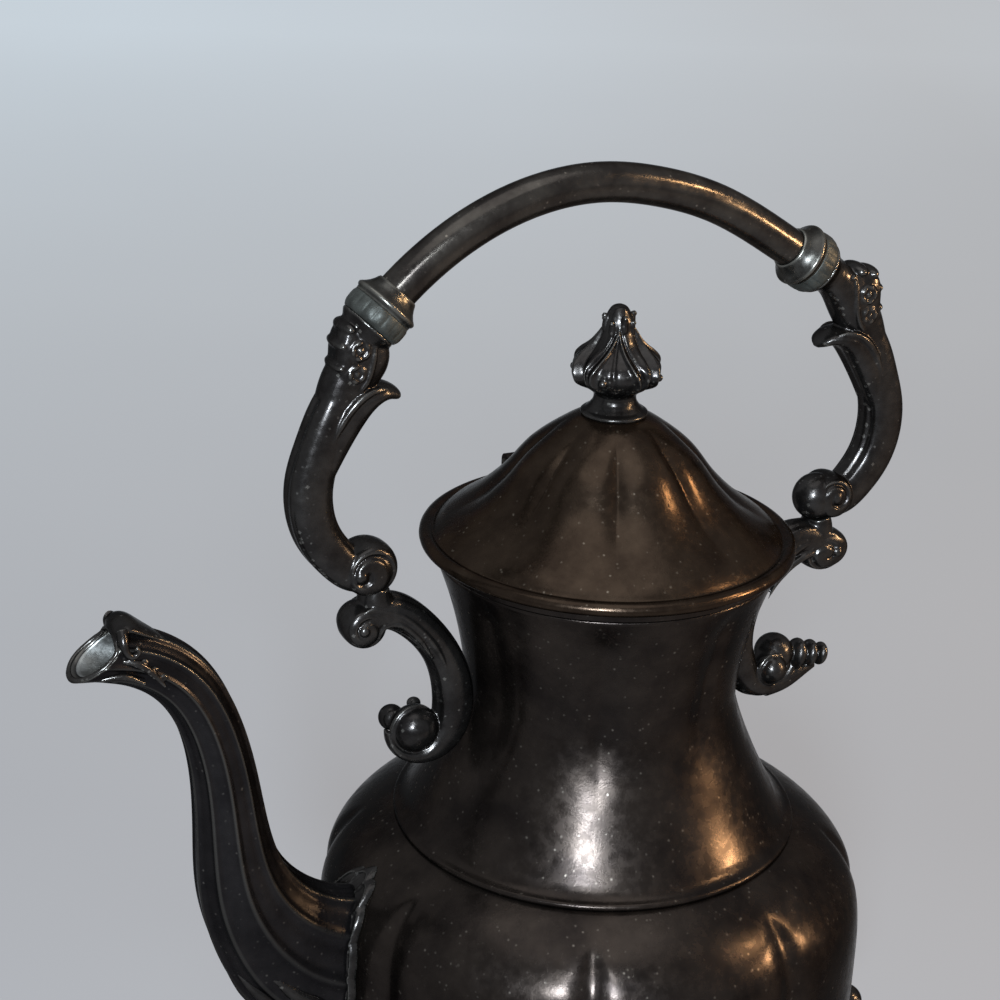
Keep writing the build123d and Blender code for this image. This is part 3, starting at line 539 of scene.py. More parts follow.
def brow_forms(edge):
    """Bead round the mouth's edge, a curled brow over it, and strands and beads on both cheeks."""
    forms = [cord(np.concatenate([edge, edge[:1]])[::4], [0.58, 0.58], count=12, stations=160)]
    forms.append(bar(BROW_BAR, 1, 2.0))
    forms += both_faces(BROW_CURL, [1.3, 1.2, 0.9, 0.7, 0.6, 0.55], 60)
    forms += both_faces(CHEEK_STRAND, [0.5, 0.95, 0.8, 0.3])
    forms += both_faces(CHIN_STRAND, [0.4, 0.8, 0.3])
    for face in (1, -1):
        for i in range(3):
            forms.append(pebble((-113.0 + 2.0 * i, face * 6.3, 251.2 - 2.1 * i), (1.1, 0.6, 0.9)))
    return forms


def spout():
    outer = trimmed(tube_rows(0.0, ridged=True), 200)
    inner = trimmed(tube_rows(SPOUT_WALL), 120)
    make_piece("spout_tube", [skin(list(outer) + list(inner[::-1]), wrap=True)], "kettle", ["spout"],
               SPOUT_PAINTED_SHADE_PLATE)
    lining = lining_rows(SPOUT_WALL + 0.05) + lining_rows(SPOUT_WALL + 0.25)[::-1]
    make_piece("spout_lining", [skin(lining, wrap=True)], "kettle", [], MOUTH_PLATE)
    casting("spout_brow", brow_forms((outer[-1] + inner[-1]) / 2), [], 0.2)


COLLAR_Z, COLLAR_REACH, COLLAR_HOLE = 163.0, (10.9, 21.6), (8.3, 17.2)
COLLAR_LOBES, COLLAR_THICK, COLLAR_BACK = 7, 1.25, 0.05


def on_belly(y, z, lift):
    """Point over the front of the body."""
    radius = belly(min(max(z, BASE_Z), SHOULDER_Z - 0.3)) + lift
    return (-(max(radius * radius - y * y, 1.0)) ** 0.5, y, z)


def collar_ring(t, angles, lift):
    """Scalloped ring of the collar, from its hole at t = 0 to its edge at t = 1."""
    wide, tall = (hole + (reach - hole) * t for hole, reach in zip(COLLAR_HOLE, COLLAR_REACH))
    scallop = np.abs(np.cos(COLLAR_LOBES * angles)) - 0.5
    y = (wide + 0.7 * t * scallop) * np.sin(angles)
    z = COLLAR_Z + (tall + 0.9 * t * scallop) * np.cos(angles)
    return [on_belly(a, b, c) for a, b, c in zip(y, z, lift)]


def collar_plate():
    """Plate on the body round the spout's root, with a raised rim, an inner ring and cross bars."""
    angles = circle(360)
    bars = hump(1 - np.abs(np.sin(COLLAR_LOBES * angles)), 0.035)
    rows = []
    for t in np.linspace(0, 1, 26):
        rims = 0.75 * hump(t - 0.84, 0.10) + 0.45 * hump(t - 0.25, 0.1)
        edge_drop = 1.1 * (t > 0.97)
        lift = COLLAR_THICK + rims + 0.55 * bars * hump(t - 0.55, 0.3) - edge_drop
        rows.append(collar_ring(t, angles, lift))
    for t in (1.0, 0.0):
        rows.append(collar_ring(t, angles, np.full(len(angles), COLLAR_BACK)))
    return skin(rows, wrap=True)


def root_ribs():
    """Thick ribs that run out of the collar along the underside of the spout."""
    shell = tube_rows(0.9)
    forms = []
    for column, reach in ((86, 44), (97, 52), (108, 56), (119, 52), (130, 44)):
        line = [shell[i, int(column + 2 * sin(i / 9)) % SPOUT_TURNS] for i in range(14, 14 + reach, 4)]
        forms.append(cord(line, [1.9, 2.3, 2.2, 1.8, 0.6], stations=50))
    return forms


def spout_leafwork():
    casting("spout_leafwork", [collar_plate()] + root_ribs(), ["spout_collar"], 0.22, 1)


# ---- handle ----
def node_points(name):
    """Corners of a CAD node, in millimetres about the kettle's axis."""
    mesh = frame["nodes"][name].data
    points = np.zeros(len(mesh.vertices) * 3)
    mesh.vertices.foreach_get("co", points)
    points = points.reshape(-1, 3) / MM
    points[:, 0] -= AXIS_X / MM
    return points


def socket_axis(end):
    """Where the grip ends, and the way out along it."""
    cup, band = node_points(f"{end}_ferrule"), node_points(f"{end}_insulator")
    axis = band.mean(0) - cup.mean(0)
    axis[1] = 0
    axis /= np.linalg.norm(axis)
    near = ((band - band.mean(0)) @ axis).min()
    origin = band.mean(0) + axis * (near - BAND[0][1])
    origin[1] = 0
    return origin, axis


CUP = [(4.5, -3.6), (4.8, -3.6), (5.05, -3.2), (5.35, -2.5), (5.9, -1.6), (6.6, -0.8), (7.25, -0.25),
       (7.5, 0.05), (7.5, 0.4), (7.35, 0.75), (7.1, 0.95), (7.05, 1.6), (1.3, 1.6), (1.3, 0.1), (4.5, 0.1)]
BAND = [(1.3, 1.65), (7.05, 1.65), (7.1, 1.9), (7.28, 2.3), (7.34, 3.3), (7.28, 4.6), (7.1, 5.2),
        (6.75, 5.85), (6.4, 6.05), (1.3, 6.05)]
BAND_FLUTES = 18


def ferrules():
    """The grip's cup and its fluted band at both ends, as (radius, distance) along the grip's way out."""
    for end in ("front", "rear"):
        origin, axis = socket_axis(end)
        make_piece(f"{end}_ferrule_cup", [turned_on(origin, axis, CUP)], "kettle", [f"{end}_ferrule"],
                   FERRULE)
        band = turned_on(origin, axis, BAND, 12 * BAND_FLUTES, flutes=BAND_FLUTES)
        make_piece(f"{end}_band", [band], "kettle", [f"{end}_insulator"], INSULATOR)


# Bars are (x, z, half size across, half size in the plane), strands (x, z) or (x, y, z).
ARM_CONE = [(0.2, 6.1), (6.6, 6.1), (6.55, 6.6), (5.8, 7.6), (5.0, 8.8), (4.6, 10.2), (4.5, 11.4),
            (0.2, 11.4)]
ARM_BLOCK = [(62.6, 318.9, 3.4, 3.8), (63.2, 316.2, 4.4, 4.8), (63.9, 311.6, 4.7, 4.8),
             (64.8, 306.8, 4.5, 4.5), (66.4, 302.4, 4.2, 4.4)]
BLOCK_LUMPS = [(59.6, 318.2, 1.7), (62.4, 319.2, 2.3), (65.8, 318.4, 2.1), (67.6, 315.0, 1.6),
               (68.0, 310.2, 1.7)]
BLOCK_EDGE = [(60.2, 317.6), (60.6, 314.5), (61.2, 310.6), (62.4, 307.0), (64.6, 304.6), (67.4, 304.4)]
ARM_CURVE = [(66.4, 304.4, 4.3, 4.6), (69.0, 299.0, 4.7, 5.2), (71.7, 292.0, 4.8, 5.4),
             (73.9, 284.6, 4.8, 5.5), (74.0, 277.5, 4.8, 5.5), (71.9, 270.8, 4.7, 5.4),
             (67.8, 265.2, 4.6, 5.2), (63.0, 261.4, 4.4, 4.6), (58.8, 260.4, 4.0, 3.2)]
ARM_GROOVES = ((32, 0.12, 9), (180, 0.10, 34))
ARM_LEAF = [(71.8, 286.0, 4.4, 3.6), (68.6, 293.6, 4.7, 4.7), (65.0, 299.2, 5.0, 4.6),
            (61.0, 302.4, 5.2, 3.3), (57.8, 303.2, 4.7, 2.2), (55.4, 302.7, 3.7, 1.6),
            (54.0, 301.7, 2.4, 1.0), (53.5, 301.0, 0.8, 0.4)]
LEAF_EDGE = [(70.6, 4.3, 293.0), (66.4, 4.6, 300.6), (61.4, 4.7, 304.4), (57.8, 3.9, 304.4),
             (55.4, 2.6, 303.2)]


def flower(x, z, y, big, side):
    """Ringed flower with a heart on both faces of a bar."""
    forms = []
    for face in (1, -1):
        ring = [(side * (x + big * cos(a)), face * (y - 0.1 + 0.12 * cos(5 * a)), z + big * sin(a))
                for a in np.linspace(0, 2 * pi, 31)]
        forms.append(cord(ring, [0.62, 0.62], stations=70))
        forms.append(ball((side * x, face * (y - 0.1), z), big * 0.5, 0.8, 10, 14))
    return forms


def arm_block(origin, axis, side):
    """Stem from the band, and the block under it with its lumps, flowers and raised edge."""
    root = origin + axis * 9
    x, z = side * root[0], root[2]
    stem = [(x, z, 4.3, 4.3), ((x + 61.4) / 2, (z + 312.5) / 2 + 0.4, 4.4, 4.6), (61.4, 312.0, 4.6, 5.4),
            (64.4, 307.6, 4.7, 5.6), (67.6, 301.5, 4.6, 4.8)]
    forms = [turned_on(origin, axis, ARM_CONE, closed=False), bar(stem, side, 2.4)]
    forms.append(bar(ARM_BLOCK, side, 4.2, ((90, 0.04, 9),)))
    forms += [pebble((side * x, 0, z), (big, 4.5, big * 0.8)) for x, z, big in BLOCK_LUMPS]
    forms += flower(64.0, 313.9, 4.6, 1.75, side) + flower(64.8, 308.8, 4.5, 1.55, side)
    return forms + scroll_lines(BLOCK_EDGE, 4.3, 0.75, side)


def arm_snail(side):
    """Ball at the arm's foot, with a roll wound over it."""
    if side < 0:
        ball_x, roll, big, eye, turns = 59.3, (60.2, 262.6), 6.5, (3.4, -0.2), 1.7
    else:
        ball_x, roll, big, eye, turns = 57.4, (60.6, 262.7), 5.6, (-0.4, 0.8), 1.6
    forms = [ball((side * ball_x, 0, 262.6), 5.8, 0.9, 26, 36)]
    forms.append(volute(roll, big, 5.6, 75, turns, side, eye, 0.26, 0.95))
    for face in (1, -1):
        forms.append(ball((side * (roll[0] + eye[0]), face * 4.7, roll[1] + eye[1]), 1.7, 0.9, 12, 16))
    return forms


def handle_arm(end, side):
    """Casting from the band to the ball: block of flowers, curved arm, hanging leaf and snail."""
    origin, axis = socket_axis(end)
    forms = arm_block(origin, axis, side)
    forms.append(bar(ARM_CURVE, side, 2.5, ARM_GROOVES, 96, 80))
    forms.append(bar(ARM_LEAF, side, 2.2, ((180, 0.13, 34),), 72))
    forms += both_faces(LEAF_EDGE, [0.3, 0.9, 0.95, 0.7, 0.2], side=side)
    forms += arm_snail(side)
    casting(f"{end}_cast_arm", forms, [f"{end}_handle_arm"])


# ---- brackets ----
# The last two values of a point are the shares of REAR_PULL by which it moves in and up at the rear.
REAR_PULL = 2.6
BRACKET_BAR = [(61.6, 249.4, 4.2, 4.3, 0, 0), (58.0, 251.2, 4.5, 4.4, 0.2, 0.2),
               (54.0, 250.7, 4.5, 4.4, 0.7, 0.7), (50.0, 248.2, 4.4, 4.3, 1.1, 0.9),
               (45.6, 243.8, 4.3, 4.2, 1, 0.6), (41.8, 238.2, 4.2, 4.3, 0.9, 0),
               (39.3, 231.6, 4.2, 4.7, 0.7, 0), (38.5, 225.2, 4.2, 4.9, 0.4, 0),
               (39.7, 219.0, 4.1, 4.5, 0, 0), (42.8, 215.0, 3.9, 3.4, 0, 0),
               (46.9, 213.4, 3.5, 2.2, 0, 0), (50.9, 214.2, 3.0, 1.5, 0, 0),
               (53.8, 217.0, 2.4, 1.0, 0, 0), (54.9, 220.4, 1.5, 0.5, 0, 0)]
BRACKET_GROOVES = ((30, 0.10, 9), (150, 0.09, 10))
BRACKET_NECK = [(58.2, 257.6, 3.8, 3.0), (58.4, 254.6, 4.2, 3.8), (57.2, 251.6, 4.4, 4.4)]
UPPER_STRAND = [(64.0, 251.4, 0, 0), (60.6, 253.4, 0, 0), (57.2, 252.9, 0, 0), (53.0, 250.6, 0, 0.5),
                (48.6, 246.4, 0.6, 0.5), (44.8, 241.4, 0.8, 0.2), (42.4, 236.6, 0.8, 0),
                (41.0, 231.0, 0.7, 0)]
LOWER_STRAND = [(58.8, 246.0, 0, 0), (57.4, 248.6, 0, 0), (54.6, 249.0, 0, 0), (51.6, 247.2, 0, 0.3),
                (48.4, 243.6, 0.5, 0.4), (45.6, 238.8, 0.7, 0)]
REAR_TONGUE = [(46.5, 213.0, 3.4, 2.4), (52.0, 214.0, 3.2, 2.4), (57.4, 216.0, 2.6, 1.7),
               (61.0, 217.0, 1.7, 1.1)]
REAR_BARREL = [(55.9, 220.4, 1.0), (59.7, 219.9, 0.88), (63.1, 219.2, 0.74)]
REAR_BALL, FRONT_BALL = (47.2, 219.0), (48.3, 220.4)


def pulled(line, pull):
    """Line with each point moved in and up by its own shares of pull."""
    return [(x - pull * inward, z + pull * up, *sizes) for x, z, *sizes, inward, up in line]


def ring_on(centre, radius, y, start, end, count, side=1):
    """Points of an arc in a plane of constant Y, between two angles in degrees."""
    return [(side * (centre[0] + radius * cos(a)), y, centre[1] + radius * sin(a))
            for a in np.linspace(radians(start), radians(end), count)]


def rear_hook():
    """Two balls in the hook, and a ribbed barrel beyond it."""
    forms = [ball((50.2, 1.4, 221.2), 4.9, 1.0, 22, 30)]
    forms.append(ball((REAR_BALL[0], -2.9, REAR_BALL[1]), 3.7, 1.0, 20, 28))
    forms.append(volute((49.0, 219.6), 4.6, 2.6, 0, 0.0, dome=0.1, depth=0.0))
    forms.append(cord(ring_on(REAR_BALL, 3.9, -3.4, 60, 300, 18), [0.2, 0.55, 0.6, 0.5, 0.3], stations=50))
    for x, z, size in REAR_BARREL:
        forms.append(pebble((x, -0.2, z), (2.15 * size, 3.6 * size, 4.1 * size), -14))
    return forms + [bar(REAR_TONGUE)]


def front_hook(side):
    """Ball in the hook with a ring round it, and two smaller balls on it."""
    forms = [ball((side * FRONT_BALL[0], -0.6, FRONT_BALL[1]), 5.6, 0.92, 26, 36)]
    ring = ring_on(FRONT_BALL, 5.7, -1.2, -130, 120, 24, side)
    forms.append(cord(ring, [0.3, 0.75, 0.75, 0.6, 0.2], stations=70))
    forms.append(ball((side * 51.7, 5.0, 221.0), 3.1, 1.0, 18, 26))
    return forms + [pebble((side * 46.4, 4.4, 224.0), (1.7, 1.6, 1.4))]


def bracket(end, side):
    """Scroll bracket under the arm: roll, broad bar, and a hook closing round a ball."""
    pull = REAR_PULL if side > 0 else 0.0
    forms = [bar(pulled(BRACKET_BAR, pull), side, 2.4, BRACKET_GROOVES, 96, 96)]
    if side > 0:
        forms.append(volute((60.0, 248.9), 5.3, 5.0, 200, 1.5, side, (-0.8, -0.4), 0.26, 0.8, wide=1.3))
    else:
        forms.append(volute((61.4, 248.8), 5.2, 4.8, 200, 1.5, side, (1.2, -0.5), 0.24, 0.8))
    forms += [ball((side * 62.4, face * 4.4, 248.8), 1.35, 0.8, 10, 14) for face in (1, -1)]
    forms.append(bar(BRACKET_NECK, side, 2.3))
    forms += scroll_lines(pulled(UPPER_STRAND, pull), 3.75, 1.0, side)
    forms += scroll_lines(pulled(LOWER_STRAND, pull), 3.8, 0.95, side)
    forms += rear_hook() if side > 0 else front_hook(side)
    casting(f"{end}_cast_bracket", forms, [f"{end}_bracket"])


# ---- stand ----
RING_R = 62.14
POST_BALL, PIN_REACH = (15.6, 109.6), 67.636
# The leg's points count their x from the stand ring.
LEG_KNEE = [(-1.2, 86.0, 4.3, 3.6), (4.0, 81.5, 4.9, 4.8), (9.4, 74.6, 4.9, 5.2), (10.4, 64.0, 4.5, 4.9),
            (6.6, 52.0, 3.9, 4.2), (2.6, 39.0, 3.3, 3.5), (1.8, 27.0, 3.1, 3.1), (5.0, 15.0, 3.4, 3.1),
            (11.4, 6.4, 4.2, 3.0), (15.0, 3.4, 5.0, 2.4)]
LEG_SPUR = [(8.5, 76.0, 3.6, 2.4), (3.2, 72.5, 4.6, 1.9), (-0.6, 68.0, 3.6, 1.2), (-1.4, 64.6, 1.0, 0.5)]
LEG_STRAND = [(8, 70.0), (10.6, 64.0), (7.4, 54.0), (3.4, 42.0), (2.4, 32.0)]
LEG_SCROLL, FOOT_REACH = (6.2, 84.2), 14.5


def from_ring(line):
    """Points with their x counted from the kettle's axis."""
    return [(RING_R + x, *rest) for x, *rest in line]


def shell_foot():
    """Foot of ribs that fan out from under the leg."""
    foot_x = RING_R + FOOT_REACH
    forms = []
    for rib in range(-4, 5):
        a = radians(22 * rib)
        reach = 9.2 - 0.22 * rib * rib
        root = (foot_x - 4.5, 2.0 * sin(a), 6.4)
        crown = (foot_x + 0.45 * reach * cos(a) - 1, 0.5 * reach * sin(a), 5.6)
        tip = (foot_x + reach * cos(a) - 1.5, reach * sin(a) * 0.9, 1.7)
        forms.append(cord([root, crown, tip], [1.6, 1.9, 1.65], stations=16))
    return forms + [ball((foot_x - 0.6, 0, 3.2), 3.0, 1.9, 14, 20)]


def turned_about_axis(form, angle):
    """A form turned about the kettle's axis, with nothing left below the table."""
    x, y, z = form[0].T
    c, s = cos(radians(angle)), sin(radians(angle))
    return np.column_stack([c * x - s * y, s * x + c * y, np.maximum(z, 0.0)]), form[1]


def stand_leg(corner, angle):
    """Cabriole leg with a scroll under the ring and a ribbed shell foot."""
    centre = from_ring([LEG_SCROLL])[0]
    curl = spiral(centre, 4.6, 0.8, 250, 1.5)
    shares = np.arange(len(curl)) / len(curl)
    scroll = [(x, z, 4.0 - 1.2 * t, 2.3 - 1.4 * t) for (x, z), t in zip(curl, shares)]
    forms = [bar(from_ring(LEG_KNEE), 1, 2.5, ((38, 0.1, 8), (142, 0.05, 8)), 48, 80)]
    forms.append(bar(scroll, 1, 2.3, (), 28, 60))
    forms.append(ball((centre[0], 0, centre[1]), 2.2, 1.5, 12, 16))
    forms.append(bar(from_ring(LEG_SPUR), 1, 2.2))
    forms += scroll_lines(from_ring(LEG_STRAND), 3.9, 0.5) + shell_foot()
    forms = [turned_about_axis(form, angle) for form in forms]
    make_piece(f"leg_{corner}_cast", forms, "stand", [f"leg_{corner}"], CAST,
               voxel=0.42, smoothing=2)


def post_balls():
    """Ringed ball that ends each post's scroll, and a strand wound over its faces."""
    for end, side in (("front", -1), ("rear", 1)):
        ball_x, ball_z = PIN_REACH + POST_BALL[0], POST_BALL[1]
        ring = [(side * ball_x + 4.1 * cos(a), 0.9 + 0.1 * cos(a), ball_z + 4.1 * sin(a))
                for a in np.linspace(0, 2 * pi, 25)]
        forms = [ball((side * ball_x, 0, ball_z), 4.35, 1.0, 22, 30), cord(ring, [0.38, 0.38], stations=80)]
        forms += scroll_lines(spiral((ball_x, ball_z), 4.0, 0.8, 210, 1.3), 3.4, 0.5, side)
        casting(f"{end}_post_ball", forms, [], 0.26, body="stand")


# ---- materials ----
COLOUR_UNDER, COLOUR_OVER, COLOUR_OUT = 6, 7, 2


def new_material(name):
    material = bpy.data.materials.new(name)
    material.use_nodes = True
    return material, material.node_tree.nodes, material.node_tree.links


def add(nodes, kind, **values):
    """A shader node, with the values of its inputs."""
    node = nodes.new("ShaderNode" + kind)
    for name, value in values.items():
        node.inputs[name.replace("_", " ")].default_value = value
    return node


def noise_on(nodes, links, coords, size, detail, rough):
    """Noise with features of a size in millimetres."""
    node = add(nodes, "TexNoise", Scale=1000.0 / size, Detail=detail, Roughness=rough)
    links.new(coords, node.inputs["Vector"])
    return node.outputs["Fac"]


def ramp_on(nodes, links, source, stops):
    """Colour from (place, colour) stops."""
    node = add(nodes, "ValToRGB")
    points = node.color_ramp.elements
    while len(points) < len(stops):
        points.new(0.5)
    for point, (place, colour) in zip(points, stops):
        point.position = place
        point.color = (*colour, 1)
    links.new(source, node.inputs["Fac"])
    return node.outputs["Color"]


def spread_on(nodes, links, source, low, high, start, end):
    """Low where the source is at start, high where it is at end."""
    node = add(nodes, "MapRange", From_Min=start, From_Max=end, To_Min=low, To_Max=high)
    links.new(source, node.inputs["Value"])
    return node.outputs["Result"]


def math_on(nodes, links, operation, first, second):
    node = add(nodes, "Math")
    node.operation = operation
    links.new(first, node.inputs[0])
    links.new(second, node.inputs[1])
    return node.outputs["Value"]


def overlaid(nodes, links, mask, under, colour):
    """A colour laid over what is under it, where the mask says."""
    node = add(nodes, "Mix")
    node.data_type = "RGBA"
    links.new(mask, node.inputs["Factor"])
    links.new(under, node.inputs[COLOUR_UNDER])
    node.inputs[COLOUR_OVER].default_value = (*colour, 1)
    return node.outputs[COLOUR_OUT]


def bumped(nodes, links, height, strength, distance):
    """Small relief on the shader."""
    node = add(nodes, "Bump", Strength=strength, Distance=distance)
    links.new(height, node.inputs["Height"])
    links.new(node.outputs["Normal"], nodes["Principled BSDF"].inputs["Normal"])


def tarnish(name, dark, light, speck, rough, metallic=0.9, patch=14.0, bump=0.03, worn=0.0,
            worn_colour=(0.3, 0.28, 0.24)):
    """Tarnished plate: patches between two colours, pale specks, uneven polish, fine pits, rubbed edges."""
    material, nodes, links = new_material(name)
    shader = nodes["Principled BSDF"]
    coords = add(nodes, "TexCoord").outputs["Object"]
    broad = noise_on(nodes, links, coords, patch, 6.0, 0.62)
    fine = noise_on(nodes, links, coords, PIT_SIZE, 3.0, 0.7)
    middle = noise_on(nodes, links, coords, patch / 5, 5.0, 0.6)
    between = tuple((a + b) / 2 for a, b in zip(dark, light))
    colour = ramp_on(nodes, links, broad, [(0.36, dark), (0.52, between), (0.68, light)])
    cells = add(nodes, "TexVoronoi", Scale=1000.0 / SPECK_SPACING)
    links.new(coords, cells.inputs["Vector"])
    dots = spread_on(nodes, links, cells.outputs["Distance"], 1.0, 0.0, 0.06, 0.2)
    some = spread_on(nodes, links, middle, 0.0, 0.75, 0.47, 0.62)
    colour = overlaid(nodes, links, math_on(nodes, links, "MULTIPLY", dots, some), colour, speck)
    if worn:
        pointed = add(nodes, "NewGeometry").outputs["Pointiness"]
        edges = spread_on(nodes, links, pointed, 0.0, worn, 0.515, 0.56)
        colour = overlaid(nodes, links, edges, colour, worn_colour)
    links.new(colour, shader.inputs["Base Color"])
    links.new(spread_on(nodes, links, middle, *rough, 0.36, 0.66), shader.inputs["Roughness"])
    shader.inputs["Metallic"].default_value = metallic
    shader.inputs["Specular Tint"].default_value = (EDGE_SHADE, EDGE_SHADE, EDGE_SHADE, 1)
    bumped(nodes, links, fine, bump, 0.0004)
    return material


def cloth(name):
    """Woven cotton."""
    material, nodes, links = new_material(name)
    coords = add(nodes, "TexCoord").outputs["Object"]
    weave = add(nodes, "TexWave", Scale=420.0, Distortion=2.0)
    links.new(coords, weave.inputs["Vector"])
    threads = [(0.2, (0.38, 0.31, 0.22)), (0.8, (0.62, 0.55, 0.44))]
    shade = ramp_on(nodes, links, weave.outputs["Fac"], threads)
    shader = nodes["Principled BSDF"]
    links.new(shade, shader.inputs["Base Color"])
    shader.inputs["Roughness"].default_value = 0.95
    bumped(nodes, links, weave.outputs["Fac"], 0.6, 0.0003)
    return material


# Sizes are in millimetres; each tarnish() names its dark, light and speck colours, then its roughness.
PIT_SIZE, SPECK_SPACING, EDGE_SHADE = 0.7, 1.9, 0.35
DARK_PLATE = tarnish("dark_plate", (0.015, 0.0115, 0.010), (0.032, 0.0245, 0.020), (0.14, 0.12, 0.10),
                     (0.20, 0.33), bump=0.06)
# The lid's plate has the same tarnish patches, specks and pits, but its colour is painted lighter and warmer
# than the body's plate: painted light on the lid.
LID_PAINTED_LIGHT_PLATE = tarnish("lid_plate_painted_light", (0.022, 0.0142, 0.0096), (0.040, 0.0268, 0.0180), (0.16, 0.13, 0.10),
                    (0.19, 0.31), patch=9.0, bump=0.06)
# The spout's plate has the same tarnish patches, specks and rubbed edges, but its colour is painted darker
# than the body's plate: painted shade on the spout.
SPOUT_PAINTED_SHADE_PLATE = tarnish("spout_plate_painted_shade", (0.011, 0.0098, 0.0102), (0.023, 0.0205, 0.0205), (0.10, 0.09, 0.08),
                      (0.22, 0.34), worn=0.2)
CAST = tarnish("cast_plate", (0.019, 0.0165, 0.0155), (0.042, 0.038, 0.035), (0.17, 0.16, 0.145),
               (0.19, 0.31), patch=7.0, bump=0.06, worn=0.42, worn_colour=(0.24, 0.225, 0.20))
FERRULE = tarnish("ferrule_plate", (0.032, 0.029, 0.026), (0.070, 0.066, 0.058), (0.2, 0.18, 0.15),
                  (0.22, 0.36), patch=5.0, worn=0.4)
MOUTH_PLATE = tarnish("mouth_plate", (0.13, 0.125, 0.115), (0.26, 0.255, 0.24), (0.4, 0.39, 0.36),
                      (0.34, 0.5), patch=5.0, bump=0.08)
INSULATOR = tarnish("band_composition", (0.022, 0.022, 0.019), (0.050, 0.051, 0.045), (0.10, 0.10, 0.085),
                    (0.40, 0.55), metallic=0.55, patch=4.0, bump=0.15)
GRIP = tarnish("grip_plate", (0.030, 0.025, 0.022), (0.062, 0.054, 0.046), (0.2, 0.17, 0.14),
               (0.17, 0.28), patch=8.0)
PIN = tarnish("pin_metal", (0.045, 0.040, 0.034), (0.095, 0.085, 0.074), (0.24, 0.22, 0.19),
              (0.28, 0.42), patch=3.0)
BURNER = tarnish("burner_plate", (0.050, 0.040, 0.032), (0.095, 0.080, 0.062), (0.2, 0.18, 0.14),
                 (0.24, 0.38), patch=10.0)
WICK = cloth("wick_cotton")
NODE_LOOKS = ((GRIP, "handle_grip"), (PIN, "handle_studs hinge_pin tilt_pin rest_pin finial_nut"),
              (BURNER, "burner_font burner_cap wick_tube snuffer"), (WICK, "wick"),
              (LID_PAINTED_LIGHT_PLATE, "lid_bezel hinge_lid_leaf"), (CAST, "front_lug rear_lug front_post rear_post"))


def dress_nodes():
    """Materials of the CAD nodes; those not listed are dark plate."""
    looks = {name: material for material, names in NODE_LOOKS for name in names.split()}
    for name, obj in frame["nodes"].items():
        obj.data.materials.clear()
        obj.data.materials.append(looks.get(name, DARK_PLATE))


# ---- stage, light and camera ----
# The paper's colour is painted light and shade: darker near the camera and lighter far off along the view,
# and darker and warmer to the right across it; the directions are on the floor, per metre.
PAINTED_FALLOFF_STOPS = [(0.22, (0.25, 0.262, 0.285)), (0.5, (0.37, 0.40, 0.43)), (0.96, (0.50, 0.56, 0.61))]
PAINTED_SIDE_SHADE_STOPS = [(0.0, (1.0, 1.0, 1.0)), (0.5, (0.96, 0.93, 0.915)), (1.0, (0.87, 0.80, 0.76))]
VIEW_ALONG, VIEW_ACROSS = (0.177, 0.359, 0.0), (0.902, -0.431, 0.0)
FLOOR_RINGS, FLOOR_SIDES, FLOOR_Z = (0.5, 2.0, 7.0), 72, -0.0006


def run_along(nodes, links, coords, way, stops, start, end):
    """Colour that runs through its stops from start to end metres along a direction."""
    run = add(nodes, "VectorMath")
    run.operation = "DOT_PRODUCT"
    run.inputs[1].default_value = way
    links.new(coords, run.inputs[0])
    return ramp_on(nodes, links, spread_on(nodes, links, run.outputs["Value"], 0, 1, start, end), stops)


def paper_with_painted_light(nodes, links, coords):
    """Pale paper: seen and mirrored with painted light and shade in its colour, and still taking the kettle's
    shadow.
    """
    painted_light = add(nodes, "Mix", Factor=1.0)
    painted_light.data_type = "RGBA"
    painted_light.blend_type = "MULTIPLY"
    # Painted light and shade: darker near and lighter far, multiplied by darker and warmer to the right.
    links.new(run_along(nodes, links, coords, VIEW_ALONG, PAINTED_FALLOFF_STOPS, -0.1, 0.95), painted_light.inputs[COLOUR_UNDER])
    links.new(run_along(nodes, links, coords, VIEW_ACROSS, PAINTED_SIDE_SHADE_STOPS, -0.5, 0.5), painted_light.inputs[COLOUR_OVER])
    path = add(nodes, "LightPath").outputs
    seen = math_on(nodes, links, "MAXIMUM", path["Is Camera Ray"], path["Is Glossy Ray"])
    seen = math_on(nodes, links, "MAXIMUM", seen, path["Is Transmission Ray"])
    glow = add(nodes, "Emission")
    links.new(painted_light.outputs[COLOUR_OUT], glow.inputs["Color"])
    links.new(seen, glow.inputs["Strength"])
    both = add(nodes, "AddShader")
    links.new(glow.outputs[0], both.inputs[0])
    links.new(nodes["Principled BSDF"].outputs[0], both.inputs[1])
    links.new(both.outputs[0], nodes["Material Output"].inputs["Surface"])


def floor_mesh():
    mesh = bpy.data.meshes.new("floor")
    build = bmesh.new()
    angles = circle(FLOOR_SIDES)
    rings = [[build.verts.new((r * cos(a), r * sin(a), FLOOR_Z)) for a in angles] for r in FLOOR_RINGS]
    build.faces.new(rings[0])
    for low, high in zip(rings, rings[1:]):
        for i in range(FLOOR_SIDES):
            after = (i + 1) % FLOOR_SIDES
            build.faces.new((low[i], high[i], high[after], low[after]))
    build.to_mesh(mesh)
    build.free()
    return mesh


def floor():
    piece = placed("floor", floor_mesh())
    material, nodes, links = new_material("floor_paper")
    shader = nodes["Principled BSDF"]
    coords = add(nodes, "TexCoord").outputs["Object"]
    grain = noise_on(nodes, links, coords, 500.0, 2.0, 0.5)
    greys = [(0.3, (0.145, 0.15, 0.155)), (0.7, (0.16, 0.165, 0.17))]
    links.new(ramp_on(nodes, links, grain, greys), shader.inputs["Base Color"])
    shader.inputs["Roughness"].default_value = 0.95
    shader.inputs["Specular IOR Level"].default_value = 0.0
    paper_with_painted_light(nodes, links, coords)
    piece.data.materials.append(material)


